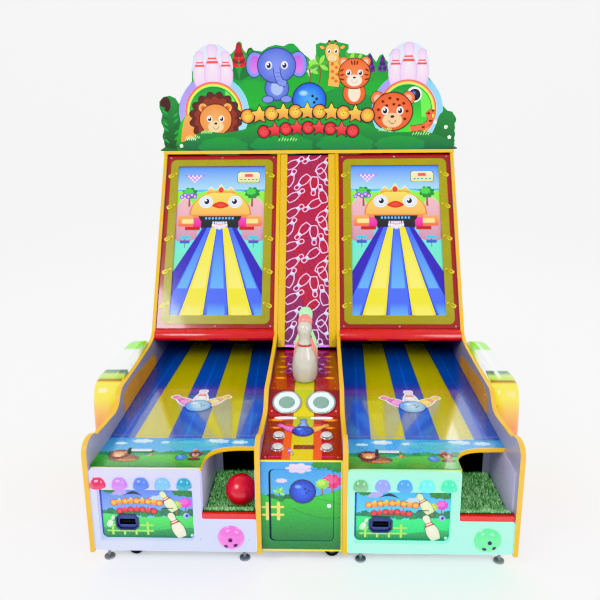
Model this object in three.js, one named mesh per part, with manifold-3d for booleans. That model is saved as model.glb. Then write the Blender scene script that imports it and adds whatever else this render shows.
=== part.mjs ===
// Twin-lane bowling redemption machine: two lane units with leaning portrait screens, joined by a
// centre column with a button console. Millimetres, X to the right, Y to the back, Z up.
// The origin is on the floor, under the middle of the machine.
import * as THREE from 'three';
import { mergeVertices } from 'three/addons/utils/BufferGeometryUtils.js';
import Module from 'manifold-3d';

const wasm = await Module();
wasm.setup();

// ---- Driving dimensions -------------------------------------------------------------------------
const GAP = 0.3;                       // air left between pieces that touch
const BOARD = 20;                      // thickness of the shaped side boards
const HALF_WIDTH = 885;                // outer faces of the outer side boards
const DIVIDER_X = 177;                 // middle of each inner side board
const FRONT = -975;                    // front edge of the side boards
const REAR = 983;                      // back, as far out as the ball lamps are in front
const SKIRT = 75;                      // lower edge of the side boards above the floor
const TOP = 1650;                      // upper edge of the side boards

const UNIT_LEFT = DIVIDER_X + BOARD / 2;                  // inside of the inner board
const UNIT_RIGHT = HALF_WIDTH - BOARD;                    // inside of the outer board
const UNIT_X = (UNIT_LEFT + UNIT_RIGHT) / 2;              // middle of a lane unit
const UNIT_HALF = (UNIT_RIGHT - UNIT_LEFT) / 2 - GAP;     // half of what fits between the boards
const CENTRE_HALF = DIVIDER_X - BOARD / 2 - GAP;          // half of what fits in the centre column

const FACE_Y = -950;                   // front face of the lower front panels
const FACE_THICK = 15;
const FACE_BACK = FACE_Y + FACE_THICK;
const FACE_BOTTOM = 72;
const COUNTER_TOP = 452;
const COUNTER_THICK = 18;
const COUNTER_BACK = -688;             // where the counter ends and the lane starts
const FACE_TOP = COUNTER_TOP - COUNTER_THICK - GAP;

const LANE_RISE = 0.0437;              // the lane climbs 2.5 degrees towards the screen
const LANE_END = 600;
const LANE_THICK = 18;

const BOX_LEFT = 116;                  // ball box, measured from the middle of its unit
const BOX_SILL = 228;                  // lower edge of the ball box mouth
const BOX_LIP = 26;                    // the red upstand that holds the ball in
const BOX_FLOOR = 222;
const BOX_BACK = -560;
const BOX_WALL = 6;
const TURF_THICK = 8;
const BALL_RADIUS = 66;

const DOOR = { left: -309, right: 79, bottom: 125, top: 349, corner: 22, thick: 10 };
const TICKET_MOUTH = { x: -202, z: 198, halfWidth: 43, halfHeight: 31, cut: 14 };
const LAMP = { x: 233, z: 142, radius: 56, proud: 30 };

const SCREEN_FOOT = { y: 196, z: 677 };                    // lower end of the leaning board edge
const SCREEN_HEAD_Y = 751;                                 // where it meets the roof
const SCREEN_LEAN = Math.atan2(SCREEN_HEAD_Y - SCREEN_FOOT.y, TOP - SCREEN_FOOT.z);
const SCREEN_LENGTH = Math.hypot(SCREEN_HEAD_Y - SCREEN_FOOT.y, TOP - SCREEN_FOOT.z);
const DISPLAY = { width: 529, height: 941, middle: 572 };  // a 43 inch panel on end

const CONSOLE = { front: { y: FACE_Y, z: 490 }, step: { y: -575, z: 509 },
  crest: { y: -430, z: 580 }, back: { y: 150, z: 586 }, thick: 12 };
const BUTTON = { x: 103, rows: [-856, -755], cap: 24, capHeight: 13, clear: 5, stem: 12, length: 34 };
const SPEAKER = { x: 80, radius: 70, flange: 9, core: 48, depth: 38 };
const PIN = { height: 300, belly: 62, rows: [-300, -170, -40] };

const BASE = { bottom: 90, top: 124, tube: 34, deck: 8, foot: 23 };
const CASTER = { radius: 32, width: 24, trail: 20, lift: 2, plate: 60 };
const CASTER_PLACES = { front_left: [-740, -876], front_middle: [106, -876],
  rear_left: [-740, 904], rear_right: [740, 904] };

const TOPPER = { y: 780, thick: 10 };
const POD = { reach: 134, front: -468, back: 135, bottom: 240, bulge: 34 };

// ---- Materials ----------------------------------------------------------------------------------
function finish(colour, roughness = 0.4, metalness = 0) {
  return new THREE.MeshStandardMaterial({ color: colour, roughness, metalness });
}
const LOOK = {
  board: finish('#8f8ca8', 0.45),
  red: finish('#b0101a', 0.3),
  white: finish('#e6f0ff', 0.35),
  print: finish('#5db86a', 0.35),
  lane: finish('#1f4fc0', 0.3),
  black: finish('#1a1a1e', 0.5),
  steel: finish('#8c9096', 0.4, 0.9),
  chrome: finish('#d8dce0', 0.15, 1),
  turf: finish('#3a6a3e', 0.95),
  yellow: finish('#ffd020', 0.3),
  pin: finish('#f2f0ea', 0.25),
  ball: finish('#d8182c', 0.3),
  glass: finish('#244a7a', 0.1),
  rubber: finish('#2a2a2c', 0.8),
  lamp: finish('#e070d0', 0.25),
  neon: finish('#8c1c48', 0.35),
};

// ---- Building blocks ----------------------------------------------------------------------------
const machine = new THREE.Group();

function place(name, geometry, material, parent = machine) {
  const mesh = new THREE.Mesh(geometry, material);
  mesh.name = name;
  parent.add(mesh);
  return mesh;
}

function box(x0, x1, y0, y1, z0, z1) {
  const block = new THREE.BoxGeometry(x1 - x0, y1 - y0, z1 - z0);
  return block.translate((x0 + x1) / 2, (y0 + y1) / 2, (z0 + z1) / 2);
}

function outline(points) {
  return new THREE.Shape(points.map(([u, v]) => new THREE.Vector2(u, v)));
}

// Extrudes a closed shape. The axis names where the thickness lies, and the shape's two
// coordinates are the other two axes in order: x -> (Y, Z), y -> (X, Z), z -> (X, Y).
function extrude(shape, axis, low, high, curveSegments = 12) {
  const solid = new THREE.ExtrudeGeometry(shape, { depth: high - low, bevelEnabled: false, curveSegments });
  const frames = {
    x: [[0, 1, 0], [0, 0, 1], [1, 0, 0], [low, 0, 0]],
    y: [[1, 0, 0], [0, 0, 1], [0, -1, 0], [0, high, 0]],
    z: [[1, 0, 0], [0, 1, 0], [0, 0, 1], [0, 0, low]],
  };
  const [u, v, w, origin] = frames[axis].map((row) => new THREE.Vector3(...row));
  return solid.applyMatrix4(new THREE.Matrix4().makeBasis(u, v, w).setPosition(origin));
}

// A round bar along the X, Y or Z axis, centred on a point.
function bar(axis, radius, length, centre, segments = 24) {
  const rod = new THREE.CylinderGeometry(radius, radius, length, segments);
  if (axis === 'x') rod.rotateZ(Math.PI / 2);
  if (axis === 'z') rod.rotateX(Math.PI / 2);
  return rod.translate(...centre);
}

// A turned piece: the profile's radius and height, turned about Z.
function turned(profile, segments = 32) {
  const points = profile.map(([radius, height]) => new THREE.Vector2(radius, height));
  return new THREE.LatheGeometry(points, segments).rotateX(Math.PI / 2);
}

function toSolid(geometry) {
  const bare = geometry.clone();
  bare.deleteAttribute('normal');
  bare.deleteAttribute('uv');
  const merged = mergeVertices(bare, 1e-4);
  return new wasm.Manifold(new wasm.Mesh({
    numProp: 3,
    vertProperties: new Float32Array(merged.attributes.position.array),
    triVerts: new Uint32Array(merged.index.array),
  }));
}

function toGeometry(solid) {
  const mesh = solid.getMesh();
  const geometry = new THREE.BufferGeometry();
  geometry.setAttribute('position', new THREE.BufferAttribute(mesh.vertProperties, 3));
  geometry.setIndex(new THREE.BufferAttribute(mesh.triVerts, 1));
  return geometry;
}

function join(...pieces) {
  return toGeometry(pieces.map(toSolid).reduce((whole, piece) => whole.add(piece)));
}

function cut(body, ...tools) {
  return toGeometry(tools.map(toSolid).reduce((whole, tool) => whole.subtract(tool), toSolid(body)));
}

function roundedPlate(x0, x1, z0, z1, lower, upper = 0) {
  const shape = new THREE.Shape();
  shape.moveTo(x0 + lower, z0);
  shape.lineTo(x1 - lower, z0);
  shape.absarc(x1 - lower, z0 + lower, lower, -Math.PI / 2, 0, false);
  shape.lineTo(x1, z1 - upper);
  if (upper > 0) shape.absarc(x1 - upper, z1 - upper, upper, 0, Math.PI / 2, false);
  shape.lineTo(x0 + upper, z1);
  if (upper > 0) shape.absarc(x0 + upper, z1 - upper, upper, Math.PI / 2, Math.PI, false);
  shape.lineTo(x0, z0 + lower);
  shape.absarc(x0 + lower, z0 + lower, lower, Math.PI, 1.5 * Math.PI, false);
  return shape;
}

// ---- Side boards --------------------------------------------------------------------------------
// The outline in (Y, Z): upright front, rounded nose, dip beside the counter, a step up to the
// rail beside the lane, the leaning edge beside the screen, and the upright back.
function sideOutline(rear) {
  const shape = new THREE.Shape();
  shape.moveTo(FRONT, SKIRT);
  shape.lineTo(rear, SKIRT);
  shape.lineTo(rear, TOP);
  shape.lineTo(SCREEN_HEAD_Y, TOP);
  shape.lineTo(SCREEN_FOOT.y, SCREEN_FOOT.z);
  shape.quadraticCurveTo(170, 636, -12, 626);
  shape.lineTo(-241, 611);
  shape.lineTo(-440, 603);
  shape.quadraticCurveTo(-478, 600, -505, 562);
  shape.quadraticCurveTo(-532, 526, -590, 524);
  shape.lineTo(-834, 539);
  shape.quadraticCurveTo(-850, 562, -905, 564);
  shape.quadraticCurveTo(FRONT, 564, FRONT, 500);
  shape.closePath();
  return shape;
}

function sideBoard(name, middle, rear) {
  place(name, extrude(sideOutline(rear), 'x', middle - BOARD / 2, middle + BOARD / 2, 8), LOOK.board);
}

const REAR_INSIDE = REAR - BOARD;
sideBoard('side_panel_left_outer', -(HALF_WIDTH - BOARD / 2), REAR);
sideBoard('side_panel_left_inner', -DIVIDER_X, REAR_INSIDE - GAP);
sideBoard('side_panel_right_inner', DIVIDER_X, REAR_INSIDE - GAP);
sideBoard('side_panel_right_outer', HALF_WIDTH - BOARD / 2, REAR);

// ---- Base, back and roof ------------------------------------------------------------------------
// The base frame hangs between the side boards, under a sheet deck, and stands on its feet.
function baseFrame() {
  const { bottom, top, tube, deck, foot } = BASE;
  const half = UNIT_RIGHT - GAP;
  const front = FACE_BACK + GAP;
  const back = REAR_INSIDE - GAP;
  const bays = [[-half, -UNIT_LEFT - GAP], [-CENTRE_HALF, CENTRE_HALF], [UNIT_LEFT + GAP, half]];
  const pieces = [];
  for (const [x0, x1] of bays) {
    pieces.push(box(x0, x1, front, back, top - deck, top));
    pieces.push(box(x0, x0 + tube, front, back, bottom, top));
    pieces.push(box(x1 - tube, x1, front, back, bottom, top));
    pieces.push(box(x0, x1, front, front + 2 * tube, bottom, top));
    pieces.push(box(x0, x1, back - 2 * tube, back, bottom, top));
  }
  // Ties pass under the inner boards, where their lower edge is notched by the tie's height.
  for (const y of [front + tube, back - tube]) {
    pieces.push(box(-half, half, y - tube / 2, y + tube / 2, bottom, top - deck));
  }
  for (const x of [-half + 34, -UNIT_LEFT - 60, UNIT_LEFT + 60, half - 34]) {
    for (const y of [front + 30, back - 30]) {
      pieces.push(bar('z', 7, bottom - 6, [x, y, (bottom + 8) / 2], 8));
      pieces.push(bar('z', foot, 9, [x, y, 4.5], 12));
    }
  }
  return join(...pieces);
}

place('base_frame', baseFrame(), LOOK.steel);

// The inner boards are notched for the two ties of the base frame.
for (const name of ['side_panel_left_inner', 'side_panel_right_inner']) {
  const board = machine.getObjectByName(name);
  const ties = [FACE_BACK + GAP + BASE.tube, REAR_INSIDE - GAP - BASE.tube].map((y) =>
    box(-HALF_WIDTH, HALF_WIDTH, y - BASE.tube / 2 - GAP, y + BASE.tube / 2 + GAP,
      0, BASE.top - BASE.deck + GAP));
  board.geometry = cut(board.geometry, ...ties);
}

const ROOF = { thick: 18, front: 746 };
const roofBoard = box(-HALF_WIDTH, HALF_WIDTH, ROOF.front, REAR, TOP + GAP, TOP + GAP + ROOF.thick);
place('top_panel', roofBoard, LOOK.board);

const REAR_DOOR = { inner: 225, outer: 835, bottom: 160, top: 1040, thick: 14 };
const rearOpenings = [-1, 1].map((side) => {
  const xs = [side * REAR_DOOR.inner, side * REAR_DOOR.outer].sort((a, b) => a - b);
  return box(xs[0], xs[1], REAR_INSIDE - 5, REAR + 5, REAR_DOOR.bottom, REAR_DOOR.top);
});
const rearSheet = box(-UNIT_RIGHT + GAP, UNIT_RIGHT - GAP, REAR_INSIDE, REAR, SKIRT, TOP);
place('rear_panel', cut(rearSheet, ...rearOpenings), LOOK.black);

for (const [word, side] of [['left', -1], ['right', 1]]) {
  const inset = 2;
  const xs = [side * (REAR_DOOR.inner + inset), side * (REAR_DOOR.outer - inset)].sort((a, b) => a - b);
  const leaf = roundedPlate(xs[0], xs[1], REAR_DOOR.bottom + inset, REAR_DOOR.top - inset, 12, 12);
  place(`rear_door_${word}`, extrude(leaf, 'y', REAR - REAR_DOOR.thick, REAR - 1, 6), LOOK.black);
}

// ---- Lane units ---------------------------------------------------------------------------------
function laneHeight(y) {
  return COUNTER_TOP + (y - COUNTER_BACK) * LANE_RISE;
}

function laneDeck() {
  const start = COUNTER_BACK + GAP;
  return extrude(outline([
    [start, laneHeight(start) - LANE_THICK], [LANE_END, laneHeight(LANE_END) - LANE_THICK],
    [LANE_END, laneHeight(LANE_END)], [start, laneHeight(start)],
  ]), 'x', -UNIT_HALF, UNIT_HALF);
}

// The counter's right front corner is scooped out above the ball box.
function counterTop() {
  const shape = new THREE.Shape();
  shape.moveTo(-UNIT_HALF, FACE_Y);
  shape.lineTo(BOX_LEFT, FACE_Y);
  shape.lineTo(BOX_LEFT, -895);
  shape.bezierCurveTo(BOX_LEFT, -820, 150, -766, 250, -764);
  shape.lineTo(UNIT_HALF, -762);
  shape.lineTo(UNIT_HALF, COUNTER_BACK);
  shape.lineTo(-UNIT_HALF, COUNTER_BACK);
  shape.closePath();
  return extrude(shape, 'z', COUNTER_TOP - COUNTER_THICK, COUNTER_TOP);
}

// The lit front panel steps down under the ball box mouth.
function frontPanel() {
  const shape = new THREE.Shape();
  const inner = 24;
  shape.moveTo(-UNIT_HALF, FACE_BOTTOM);
  shape.lineTo(UNIT_HALF, FACE_BOTTOM);
  shape.lineTo(UNIT_HALF, BOX_SILL);
  shape.lineTo(BOX_LEFT + inner, BOX_SILL);
  shape.absarc(BOX_LEFT + inner, BOX_SILL + inner, inner, -Math.PI / 2, -Math.PI, true);
  shape.lineTo(BOX_LEFT, FACE_TOP);
  shape.lineTo(-UNIT_HALF, FACE_TOP);
  shape.closePath();
  const inset = 2;
  const doorway = roundedPlate(DOOR.left - inset, DOOR.right + inset, DOOR.bottom - inset, DOOR.top + inset,
    DOOR.corner + inset, 6);
  return cut(extrude(shape, 'y', FACE_Y, FACE_BACK), extrude(doorway, 'y', FACE_Y - 5, FACE_BACK + 5, 6),
    bar('y', LAMP.radius - 8, 60, [LAMP.x, FACE_Y, LAMP.z]));
}

function octagon({ x, z, halfWidth, halfHeight, cut: corner }) {
  const quarter = [[halfWidth, halfHeight - corner], [halfWidth - corner, halfHeight]];
  const points = [];
  for (const [sx, sz] of [[1, 1], [-1, 1], [-1, -1], [1, -1]]) {
    const pair = sx * sz > 0 ? quarter : [...quarter].reverse();
    for (const [u, v] of pair) points.push([x + sx * u, z + sz * v]);
  }
  return outline(points);
}

function ticketDoor() {
  const leaf = roundedPlate(DOOR.left, DOOR.right, DOOR.bottom, DOOR.top, DOOR.corner, 4);
  const face = FACE_Y + 3;
  return cut(extrude(leaf, 'y', face, face + DOOR.thick, 8),
    extrude(octagon(TICKET_MOUTH), 'y', face - 5, face + DOOR.thick + 5));
}

function ballBox() {
  const right = UNIT_HALF;
  const left = BOX_LEFT - BOX_WALL;
  const front = FACE_BACK + GAP;
  const top = COUNTER_TOP - COUNTER_THICK - GAP;
  const shell = box(left, right, front, BOX_BACK, BOX_FLOOR - BOX_WALL, top);
  const inside = box(BOX_LEFT, right - BOX_WALL, front + BOX_WALL, BOX_BACK - BOX_WALL, BOX_FLOOR, top + 5);
  const mouth = box(BOX_LEFT, right - BOX_WALL, front - 5, front + 2 * BOX_WALL,
    BOX_SILL + BOX_LIP, top + 5);
  const middle = (BOX_LEFT + right - BOX_WALL) / 2;
  const half = 78;
  const hatch = box(middle - half, middle + half, BOX_BACK - 2 * BOX_WALL, BOX_BACK + 5,
    BOX_FLOOR + 2, BOX_FLOOR + 170);
  return cut(shell, inside, mouth, hatch);
}

function turfMat() {
  return box(BOX_LEFT + 1, UNIT_HALF - BOX_WALL - 1, FACE_BACK + BOX_WALL + 1.5, BOX_BACK - BOX_WALL - 1,
    BOX_FLOOR + GAP, BOX_FLOOR + TURF_THICK);
}

// Behind the lane a cross-sloped tray catches the ball, and a gutter under the lane rolls it back.
function ballReturn() {
  const middle = (BOX_LEFT + UNIT_HALF - BOX_WALL) / 2;
  const wall = 5;
  const half = 75;
  const gutterFront = { y: BOX_BACK + 1, z: BOX_FLOOR + 2 };
  const gutterBack = { y: 905, z: 330 };
  const slope = (gutterBack.z - gutterFront.z) / (gutterBack.y - gutterFront.y);
  const channel = (u0, u1, lift, height, y0, y1) => {
    const z = (y) => gutterFront.z + (y - gutterFront.y) * slope;
    return extrude(outline([[y0, z(y0) + lift], [y1, z(y1) + lift], [y1, z(y1) + lift + height],
      [y0, z(y0) + lift + height]]), 'x', u0, u1);
  };
  const outer = half + wall;
  const gutter = cut(channel(middle - outer, middle + outer, -wall, 90, gutterFront.y, gutterBack.y),
    channel(middle - half, middle + half, 0, 120, gutterFront.y - 5, gutterBack.y - wall));
  const trayEnd = middle - outer + 1;
  const edge = UNIT_HALF - 5;
  const section = outline([[-edge, 455], [-edge, 435], [trayEnd, 390], [trayEnd, 390 + wall],
    [wall - edge, 435 + wall], [wall - edge, 455]]);
  const tray = extrude(section, 'y', 615, 905);
  const stop = box(-edge, edge, 900, 912, 392, 650);
  return join(gutter, tray, stop);
}

function ballLamp() {
  const steps = 5;
  const profile = [[0, -10], [LAMP.radius - 10, -10], [LAMP.radius - 10, GAP], [LAMP.radius, GAP]];
  for (let i = 0; i < steps; i += 1) {
    const angle = (i / steps) * Math.PI / 2;
    profile.push([LAMP.radius * Math.cos(angle), 3 + LAMP.proud * Math.sin(angle)]);
  }
  profile.push([0, 3 + LAMP.proud]);
  return turned(profile, 24);
}

function ticketDispenser() {
  const { x, z } = TICKET_MOUTH;
  const body = box(x - 42, x + 42, -905, -735, BASE.top + GAP, 320);
  const throat = box(x - 32, x + 32, -932, -900, z - 12, z + 12);
  const slot = box(x - 27, x + 27, -940, -880, z - 4, z + 4);
  return cut(join(body, throat), slot);
}

function screenBezel() {
  const low = 24;
  const high = SCREEN_LENGTH - 4;
  const { width, height, middle } = DISPLAY;
  const window = box(-width / 2, width / 2, 0, 40, middle - height / 2, middle + height / 2);
  return cut(box(-UNIT_HALF, UNIT_HALF, 12, 24, low, high), window);
}

function display() {
  const { width, height, middle } = DISPLAY;
  const border = 12;
  return box(-width / 2 - border, width / 2 + border, 24 + GAP, 66, middle - height / 2 - border,
    middle + height / 2 + border);
}

// The rounded rail under the screen, above the mouth that the ball rolls into.
function screenLip() {
  const shape = new THREE.Shape();
  shape.moveTo(214, 690);
  shape.quadraticCurveTo(168, 684, 164, 652);
  shape.quadraticCurveTo(164, 638, 178, 636);
  shape.lineTo(226, 636);
  shape.lineTo(228, 683);
  shape.closePath();
  return extrude(shape, 'x', -UNIT_HALF, UNIT_HALF, 8);
}

function laneUnit(word, side) {
  const unit = new THREE.Group();
  unit.position.x = side * UNIT_X;
  machine.add(unit);
  place(`lane_deck_${word}`, laneDeck(), LOOK.lane, unit);
  place(`ball_return_${word}`, ballReturn(), LOOK.black, unit);
  place(`counter_${word}`, counterTop(), LOOK.print, unit);
  place(`front_panel_${word}`, frontPanel(), LOOK.white, unit);
  place(`ticket_door_${word}`, ticketDoor(), LOOK.print, unit);
  place(`ball_box_${word}`, ballBox(), LOOK.board, unit);
  place(`turf_mat_${word}`, turfMat(), LOOK.turf, unit);
  place(`ticket_dispenser_${word}`, ticketDispenser(), LOOK.black, unit);
  place(`screen_lip_${word}`, screenLip(), LOOK.red, unit);
  const lamp = place(`ball_lamp_${word}`, ballLamp(), LOOK.lamp, unit);
  lamp.position.set(LAMP.x, FACE_Y, LAMP.z);
  lamp.rotation.x = Math.PI / 2;
  const screen = new THREE.Group();
  screen.position.set(0, SCREEN_FOOT.y, SCREEN_FOOT.z);
  screen.rotation.x = -SCREEN_LEAN;
  unit.add(screen);
  place(`screen_bezel_${word}`, screenBezel(), LOOK.red, screen);
  place(`display_${word}`, display(), LOOK.glass, screen);
}

laneUnit('left', -1);
laneUnit('right', 1);

const ball = place('bowling_ball', new THREE.SphereGeometry(BALL_RADIUS, 24, 16), LOOK.ball);
const BALL_PLACE = { x: -UNIT_X + UNIT_HALF - BOX_WALL - BALL_RADIUS - 2, y: -848,
  z: BOX_FLOOR + TURF_THICK + GAP + BALL_RADIUS };
ball.position.set(BALL_PLACE.x, BALL_PLACE.y, BALL_PLACE.z);

// ---- Centre column ------------------------------------------------------------------------------
const SERVICE = { half: 130, bottom: 122, top: 446, corner: 18, thick: 12 };

function consoleFront() {
  const inset = 2;
  const top = CONSOLE.front.z - CONSOLE.thick - inset;
  const plate = box(-CENTRE_HALF, CENTRE_HALF, FACE_Y, FACE_BACK, FACE_BOTTOM, top);
  const doorway = roundedPlate(-SERVICE.half - inset, SERVICE.half + inset, SERVICE.bottom - inset,
    SERVICE.top + inset, SERVICE.corner + inset, SERVICE.corner + inset);
  return cut(plate, extrude(doorway, 'y', FACE_Y - 5, FACE_BACK + 5, 6));
}
place('console_front', consoleFront(), LOOK.print);

const serviceLeaf = roundedPlate(-SERVICE.half, SERVICE.half, SERVICE.bottom, SERVICE.top, SERVICE.corner,
  SERVICE.corner);
place('service_door', extrude(serviceLeaf, 'y', FACE_Y + 1, FACE_Y + 1 + SERVICE.thick, 6), LOOK.print);

// A frame that lies on one stretch of the console: its Z axis stands square to the surface.
function onConsole(from, to, y) {
  const frame = new THREE.Group();
  const slope = Math.atan2(to.z - from.z, to.y - from.y);
  frame.position.set(0, y, from.z + (y - from.y) * Math.tan(slope));
  frame.rotation.x = slope;
  frame.updateMatrix();
  return frame;
}

const SPEAKER_Y = (CONSOLE.step.y + CONSOLE.crest.y) / 2;

function consolePanel() {
  const { front, step, crest, back, thick } = CONSOLE;
  const under = ({ y, z }) => [y, z - thick];
  const over = ({ y, z }) => [y, z];
  const sheet = extrude(outline([under(front), under(step), under(crest), under(back),
    over(back), over(crest), over(step), over(front)]), 'x', -CENTRE_HALF, CENTRE_HALF);
  const holes = [];
  for (const y of BUTTON.rows) {
    const frame = onConsole(front, step, y);
    for (const side of [-1, 1]) {
      holes.push(bar('z', BUTTON.stem + 0.8, 60, [side * BUTTON.x, 0, 0]).applyMatrix4(frame.matrix));
    }
  }
  const ringFrame = onConsole(step, crest, SPEAKER_Y);
  for (const side of [-1, 1]) {
    holes.push(bar('z', SPEAKER.core + 2, 90, [side * SPEAKER.x, 0, 0]).applyMatrix4(ringFrame.matrix));
  }
  return cut(sheet, ...holes);
}
place('console_panel', consolePanel(), LOOK.red);

function buttonBody() {
  const { cap, capHeight, clear, stem, length } = BUTTON;
  const steps = 4;
  const profile = [[0, -length], [stem, -length], [stem, clear], [cap, clear]];
  for (let i = 0; i < steps; i += 1) {
    const angle = (i / steps) * Math.PI / 2;
    profile.push([cap * Math.cos(angle), clear + 2 + capHeight * Math.sin(angle)]);
  }
  profile.push([0, clear + 2 + capHeight]);
  return turned(profile, 18);
}

BUTTON.rows.forEach((y, row) => {
  const frame = onConsole(CONSOLE.front, CONSOLE.step, y);
  machine.add(frame);
  for (const [word, side] of [['left', -1], ['right', 1]]) {
    const button = place(`button_${['front', 'back'][row]}_${word}`, buttonBody(), LOOK.chrome, frame);
    button.position.x = side * BUTTON.x;
  }
});

// Each speaker has a raised trim ring, a core through the console and a recessed grille.
function speakerBody() {
  const { radius, flange, core, depth } = SPEAKER;
  return turned([[0, -depth], [core, -depth], [core, GAP], [radius, GAP], [radius, flange * 0.5],
    [radius - 5, flange], [radius - 13, flange], [radius - 17, 4], [core - 6, 4], [core - 10, 2],
    [0, 2]], 28);
}
const speakerFrame = onConsole(CONSOLE.step, CONSOLE.crest, SPEAKER_Y);
machine.add(speakerFrame);
for (const [word, side] of [['left', -1], ['right', 1]]) {
  const speaker = place(`speaker_${word}`, speakerBody(), LOOK.chrome, speakerFrame);
  speaker.position.x = side * SPEAKER.x;
}

// Bowling pin: radius at each height, as a share of the belly radius and the full height.
const PIN_PROFILE = [[0, 0], [0.62, 0], [0.7, 0.02], [0.9, 0.14], [1, 0.3], [0.95, 0.42], [0.76, 0.55],
  [0.52, 0.66], [0.46, 0.72], [0.5, 0.79], [0.57, 0.86], [0.54, 0.92], [0.36, 0.98], [0, 1]];
PIN.rows.forEach((y, row) => {
  const profile = PIN_PROFILE.map(([radius, height]) => [radius * PIN.belly, height * PIN.height]);
  const frame = onConsole(CONSOLE.crest, CONSOLE.back, y);
  const pin = place(`pin_${['front', 'middle', 'rear'][row]}`, turned(profile, 20), LOOK.pin);
  pin.position.set(0, y, frame.position.z + 1);
});

// The picture panel between the screens, with a post along each side.
const NEON = { low: -86, post: 42, postProud: 14 };
const neon = new THREE.Group();
neon.position.set(0, SCREEN_FOOT.y, SCREEN_FOOT.z);
neon.rotation.x = -SCREEN_LEAN;
machine.add(neon);
const posts = [-1, 1].map((side) => {
  const xs = [side * CENTRE_HALF, side * (CENTRE_HALF - NEON.post)].sort((a, b) => a - b);
  return box(xs[0], xs[1], 14 - NEON.postProud, 15, NEON.low, SCREEN_LENGTH - 4);
});
const neonBoard = box(-CENTRE_HALF, CENTRE_HALF, 14, 30, NEON.low, SCREEN_LENGTH - 4);
place('neon_panel', join(neonBoard, ...posts), LOOK.neon, neon);

place('game_computer', box(-150, 150, 150, 520, BASE.top + GAP, 320), LOOK.black);
place('power_supply', box(-90, 90, -420, -240, BASE.top + GAP, 235), LOOK.steel);

// ---- Topper -------------------------------------------------------------------------------------
// A flat cut-out board: a base band, and round shapes that stand for the figures on it.
function topperBoard() {
  const low = TOP + ROOF.thick + 2 * GAP;
  const disc = (x, z, rx, rz) => {
    const round = bar('y', 1, TOPPER.thick, [0, 0, 0], 24);
    return round.scale(rx, 1, rz).translate(x, TOPPER.y, z);
  };
  const tower = (x, half, high) => box(x - half, x + half, TOPPER.y - TOPPER.thick / 2,
    TOPPER.y + TOPPER.thick / 2, low, high);
  return join(tower(0, 868, 1820), tower(0, 420, 1960), tower(-850, 30, 1880), tower(850, 30, 1820),
    disc(-842, 1880, 63, 108), disc(-574, 1893, 222, 222), tower(-570, 96, 2130),
    disc(-566, 2190, 100, 108), disc(-400, 2210, 34, 92), tower(-400, 30, 2210),
    disc(-200, 2130, 218, 145), tower(-180, 200, 2090), disc(0, 1990, 110, 150),
    tower(145, 90, 2210), disc(150, 2195, 76, 103), disc(305, 2110, 110, 98), tower(300, 110, 2090),
    disc(455, 2090, 62, 118), tower(440, 60, 2090), disc(608, 1936, 226, 226), tower(600, 92, 2110),
    disc(598, 2160, 96, 98), disc(838, 1810, 67, 70));
}
place('topper_board', topperBoard(), LOOK.print);

// ---- Side lamps ---------------------------------------------------------------------------------
// A moulded pod on the outside of each outer board, rounded all over its outer face.
const POD_DEPTH = POD.reach - POD.bulge - GAP;

function lampPod() {
  const shape = new THREE.Shape();
  const { front, back, bottom, bulge } = POD;
  shape.moveTo(front + bulge, bottom + bulge + 30);
  shape.quadraticCurveTo(front + bulge, bottom + bulge, front + bulge + 40, bottom + bulge);
  shape.lineTo(back - 190, bottom + bulge);
  shape.quadraticCurveTo(back - bulge, 360, back - bulge, 500);
  shape.lineTo(back - bulge, 590);
  shape.quadraticCurveTo(back - bulge, 642, 40, 636);
  shape.lineTo(-330, 602);
  shape.quadraticCurveTo(front + bulge, 590, front + bulge, 500);
  shape.closePath();
  return new THREE.ExtrudeGeometry(shape, { depth: POD_DEPTH, bevelEnabled: true,
    bevelThickness: bulge, bevelSize: bulge, bevelSegments: 3, curveSegments: 6 });
}

// The pod is rounded at both ends of its depth, and the end inside the board's face is cut off.
function trimmedPod(side) {
  const wall = HALF_WIDTH + GAP;
  const start = side > 0 ? wall : -wall - POD_DEPTH;
  const [y, z, x] = [[0, 1, 0], [0, 0, 1], [1, 0, 0]].map((row) => new THREE.Vector3(...row));
  const pod = lampPod().applyMatrix4(new THREE.Matrix4().makeBasis(y, z, x).setPosition(start, 0, 0));
  const inside = side > 0 ? box(0, wall, -700, 400, 0, 900) : box(-wall, 0, -700, 400, 0, 900);
  return cut(pod, inside);
}
place('side_lamp_left', trimmedPod(-1), LOOK.yellow);
place('side_lamp_right', trimmedPod(1), LOOK.yellow);

// ---- Casters ------------------------------------------------------------------------------------
// Each fork turns about an upright pivot under the base, with its wheel trailing beside the pivot.
function casterFork() {
  const { radius, width, trail, lift, plate } = CASTER;
  const axle = radius + lift;
  const top = BASE.bottom - GAP;
  const cheek = 3;
  const inner = width / 2 + 1;
  const crown = top - 8;
  const cheeks = [-1, 1].map((side) => {
    const ys = [side * inner, side * (inner + cheek)].sort((a, b) => a - b);
    return extrude(outline([[trail - 9, axle - 8], [trail + 9, axle - 8], [20, crown], [-18, crown]]),
      'y', ys[0], ys[1]);
  });
  const bridge = box(-18, 20, -inner - cheek, inner + cheek, crown - 4, crown);
  const boss = bar('z', plate / 2 - 6, 8, [0, 0, top - 4]);
  const pin = bar('y', 4, 2 * (inner + cheek), [trail, 0, axle], 16);
  return join(...cheeks, bridge, boss, pin);
}

function casterWheel() {
  const { radius, width } = CASTER;
  const half = width / 2;
  const bore = 4.4;
  return turned([[bore, -half], [radius - 3, -half], [radius, -half + 4], [radius, half - 4],
    [radius - 3, half], [bore, half], [bore, -half]], 24).rotateX(Math.PI / 2);
}

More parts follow.
